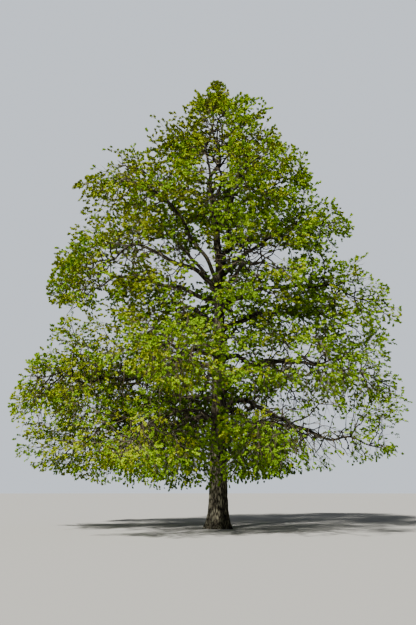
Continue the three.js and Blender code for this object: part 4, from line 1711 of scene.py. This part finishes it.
@dataclass(frozen=True)
class Tinting:
    """How tints are dealt out: darker inside the crown and lighter towards its top, as painted shade and painted
    light, and warmer towards its top and its left, as painted sunlight, with some chance by spray and sprig.
    """

    # Painted shade inside the crown: the tone starts low at the trunk and rises outwards.
    inside: float = 0.1
    outer: float = 0.55
    by_spray: float = 0.22
    by_sprig: float = 0.12
    greens: int = 4
    full_tone: float = 0.9
    # The share of warm tints, raised towards the top and the left, the sunlit side, as painted sunlight; the rest is
    # chance by spray.
    warmth: float = 0.38
    sunlit_warmer_up: float = 0.35
    sunlit_warmer_left: float = 0.35
    warmth_limits: Pair = (0.1, 0.8)
    olive: float = 0.4
    # Painted light and painted sunlit warmth towards the top: how much is added, from which share of the crown's
    # height, over which share of it.
    painted_light_up: Triple = (0.32, 0.55, 0.3)
    sunlit_warmer_top: Triple = (0.15, 0.75, 0.2)

    def deal(self, sprigs: Shoots, crown: Crown) -> Array:
        """Deal out the tints by spray.

        Args:
            sprigs: The sprigs.
            crown: The crown that they stand in.

        Returns:
            The number of each sprig's tint.
        """
        centre = sprigs.points.mean(axis=1)
        out, across = outward(centre)
        depth = out / np.maximum(crown.reach(centre[:, 2], across), 0.5)
        risen = centre[:, 2] / crown.height
        spray = np.floor(sprigs.keys / SPRIGS.key)
        branch = np.floor(spray / TWIGS.key)
        # Painted shade: leaves deeper inside the crown take darker tints.
        tone = self.inside + self.outer * ramp(depth, 0, 1) + self.by_spray * sway(spray, 61)
        tone += self.by_sprig * sway(sprigs.keys, 62)
        # Painted light: the upper crown takes lighter tints.
        tone += self.painted_light_up[0] * ramp(risen, *self.painted_light_up[1:])
        number = np.clip((tone * self.greens / self.full_tone).astype(int), 0, self.greens - 1)
        # Painted sunlight: warm tints are dealt more often towards the top and on the left, where the light falls.
        warmth = self.warmth + self.sunlit_warmer_up * (risen - 0.5) - self.sunlit_warmer_left * centre[:, 0] / crown.radius
        warmth = np.clip(warmth + self.sunlit_warmer_top[0] * ramp(risen, *self.sunlit_warmer_top[1:]), *self.warmth_limits)
        warm = (chance(spray, 63) + chance(branch, 65)) / 2 < warmth
        number = np.where(warm, self.greens, number)
        return np.where(warm & (chance(spray, 64) < self.olive), self.greens + 1, number)


@dataclass
class Leaves:
    """Lobed leaves in sprays along the sprigs, folded on the midrib and curled at the tip."""

    growth: Growth
    tinting: Tinting = field(default_factory=Tinting)
    length: float = 0.099
    width: float = 0.090
    larger_up: float = 0.25
    smaller_near: float = 0.16
    fold: float = 0.3
    curl: float = 0.14
    per_sprig: int = 11
    # The share of the leaves kept at the ground, and the share of the height where all are kept.
    kept_low: float = 0.62
    full_up: float = 0.62
    spiral: float = 137.5
    first: float = 0.3
    crowding: float = 0.6
    spread: float = 0.85
    spread_root: float = 1.15
    spread_fall: float = 0.6
    hang: float = 0.25
    hang_least: float = 0.4
    nudge: float = 0.001
    size_least: float = 0.78
    size_stray: float = 0.44
    # How much a leaf faces up, outwards and anywhere.
    facing: Triple = (0.45, 0.75, 0.75)
    # A side lobe and the bay before the end lobe, as shares of the width and the length.
    lobe: Pair = (0.5, 0.54)
    bay: Pair = (0.2, 0.64)

    def blade(self) -> tuple[Array, Array]:
        """Draw one leaf of length 1 in its own axes: x across, y along, z up.

        Returns:
            The corners and the triangles.
        """
        half = np.array([self.lobe, self.bay])
        across = half[:, 0] * self.width / self.length
        side = np.stack([across, half[:, 1], self.fold * across], axis=-1)
        corners = np.concatenate([[[0, 0, 0]], side, [[0, 1, 0]], side[:1] * [-1, 1, 1]])
        corners[:, 2] -= self.curl * corners[:, 1] ** 2
        return corners, np.array([(0, 1, 2), (0, 2, 3), (0, 3, 4)])

    def placed(self) -> tuple[Array, Array, Array, Array, Array]:
        """Place every leaf on its sprig.

        Returns:
            The leaves' roots, their three axes scaled to size, and each one's sprig.
        """
        sprigs, crown = self.growth.sprigs, self.growth.plan.crown
        index = np.arange(self.per_sprig)[None]
        keys = sprigs.keys[:, None]
        even = (index + chance(keys, index, 51)) / self.per_sprig
        share = self.first + (1 - self.first) * even**self.crowding
        root = along(sprigs.points, share)
        way = unit(along(ways(sprigs.points), share))
        across = unit(np.cross(way, UP) + self.nudge)
        top = np.cross(across, way)
        turn = (np.radians(self.spiral) * index + 2 * np.pi * chance(keys, 52))[..., None]
        out = across * np.cos(turn) + top * np.sin(turn)
        onward = way + out * (self.spread * (self.spread_root - self.spread_fall * share))[..., None]
        onward[..., 2] -= self.hang * (self.hang_least + chance(keys, index, 53))
        onward = unit(onward)
        stray = np.stack([sway(keys, index, 54 + axis) for axis in range(3)], axis=-1)
        up, away, anywhere = self.facing
        face = unit(up * UP + away * unit(root * [1, 1, 0]) + anywhere * stray)
        side = unit(np.cross(onward, face))
        face = np.cross(side, onward)
        risen = root[..., 2] / crown.height
        near = ramp(-root[..., 1], 0, crown.radius)
        size = self.length * (1 + self.larger_up * risen - self.smaller_near * near)
        size = (size * (self.size_least + self.size_stray * chance(keys, index, 58)))[..., None]
        sprig = np.broadcast_to(np.arange(len(sprigs.keys))[:, None], share.shape)
        kept = chance(keys, index, 59) < mixed(self.kept_low, 1.0, ramp(risen, 0, self.full_up))
        return root[kept], (side * size)[kept], (onward * size)[kept], (face * size)[kept], sprig[kept]

    def build(self) -> None:
        """Model every leaf, with a piece for each tint in each group of masses."""
        corners, triangles = self.blade()
        root, side, onward, face, sprig = self.placed()
        sprigs, plan = self.growth.sprigs, self.growth.plan
        groups = plan.groups()[sprigs.owner][sprig]
        tints = self.tinting.deal(sprigs, plan.crown)[sprig]
        finishes = {tint: tint.value.material() for tint in Tint}
        for group in dict.fromkeys(plan.groups()):
            for number, tint in enumerate(Tint):
                some = (groups == group) & (tints == number)
                if not some.any():
                    continue
                axes = zip((side[some], onward[some], face[some]), corners.T)
                places = root[some][:, None] + sum(axis[:, None] * part[None, :, None] for axis, part in axes)
                faces = triangles[None] + np.arange(some.sum())[:, None, None] * len(corners)
                name = f"{tint.value.name}_{group}"
                mesh = joined_mesh(name, places.reshape(-1, 3), [faces.reshape(-1, 3)])
                add_piece(mesh, finishes[tint], "foliage", plan.solids(group))


@dataclass(frozen=True)
class Lamp:
    """A soft sun lamp, by where it stands, in degrees."""

    name: str
    azimuth: float
    elevation: float
    strength: float
    softness: float
    colour: Triple

    def add(self) -> None:
        """Put the lamp in the scene."""
        data = bpy.data.lights.new(self.name, "SUN")
        data.energy = self.strength
        data.angle = math.radians(self.softness)
        data.color = self.colour
        lamp = in_scene(self.name, data)
        towards = heading(math.radians(self.azimuth), math.radians(self.elevation))
        lamp.rotation_mode = "QUATERNION"
        lamp.rotation_quaternion = Vector(towards).to_track_quat("Z", "Y")


@dataclass
class Studio:
    """A pale floor, a pale backdrop and soft light."""

    floor: PlainFinish = PlainFinish("floor", (0.45, 0.45, 0.441), 0.9, 0.1)
    floor_radius: float = 400.0
    floor_sides: int = 96
    backdrop: Triple = (0.80, 0.87, 0.96)
    backdrop_seen: float = 1.0
    backdrop_cast: float = 0.14
    lamps: tuple[Lamp, ...] = (
        Lamp("key", 241, 46, 7.8, 3, (1.0, 0.96, 0.87)),
        Lamp("fill", 200, 12, 0.4, 40, (0.97, 0.98, 1.0)),
    )

    def build(self) -> None:
        """Make the floor, the backdrop and the lamps."""
        bm = bmesh.new()
        bmesh.ops.create_circle(bm, cap_ends=True, radius=self.floor_radius, segments=self.floor_sides)
        mesh = finished(bm, "floor")
        mesh.materials.append(self.floor.material())
        floor = in_scene("floor", mesh)
        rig.stage(floor)
        world = bpy.data.worlds.new("backdrop")
        world.use_nodes = True
        nodes = Nodes(world.node_tree)
        colour = (*self.backdrop, 1)
        cast = nodes.tree.nodes["Background"]
        nodes.feed(cast, {"Color": colour, "Strength": self.backdrop_cast})
        seen = nodes.add("Background", "Background", {"Color": colour, "Strength": self.backdrop_seen})
        either = {"Fac": nodes.add("LightPath", "Is Camera Ray", {}), 1: cast.outputs["Background"], 2: seen}
        surface = nodes.add("MixShader", "Shader", either)
        nodes.feed(nodes.tree.nodes["World Output"], {"Surface": surface})
        bpy.context.scene.world = world
        for lamp in self.lamps:
            lamp.add()


def write_sizes() -> None:
    """Write the box of the solids and the box of the dressed tree."""
    boxes = {"cad": CAD_BOX, "visual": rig.bounds()}
    lists = {name: [list(corner) for corner in box] for name, box in boxes.items()}
    with open("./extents.json", "w") as out:
        json.dump(lists, out)


def main() -> None:
    """Build the tree and its studio, in order."""
    logging.basicConfig(level=logging.INFO, format="%(message)s", force=True)
    view = PhotoView()
    view.add_camera()
    Studio().build()
    plan = TreePlan().lay_out()
    bark = BarkFinish().material()
    Timber(plan, bark).build()
    growth = Growth(plan, view).grow()
    FineWood(growth, bark, TWIG.material()).build()
    Leaves(growth).build()
    bpy.context.view_layer.update()
    write_sizes()


if __name__ == "__main__":
    main()
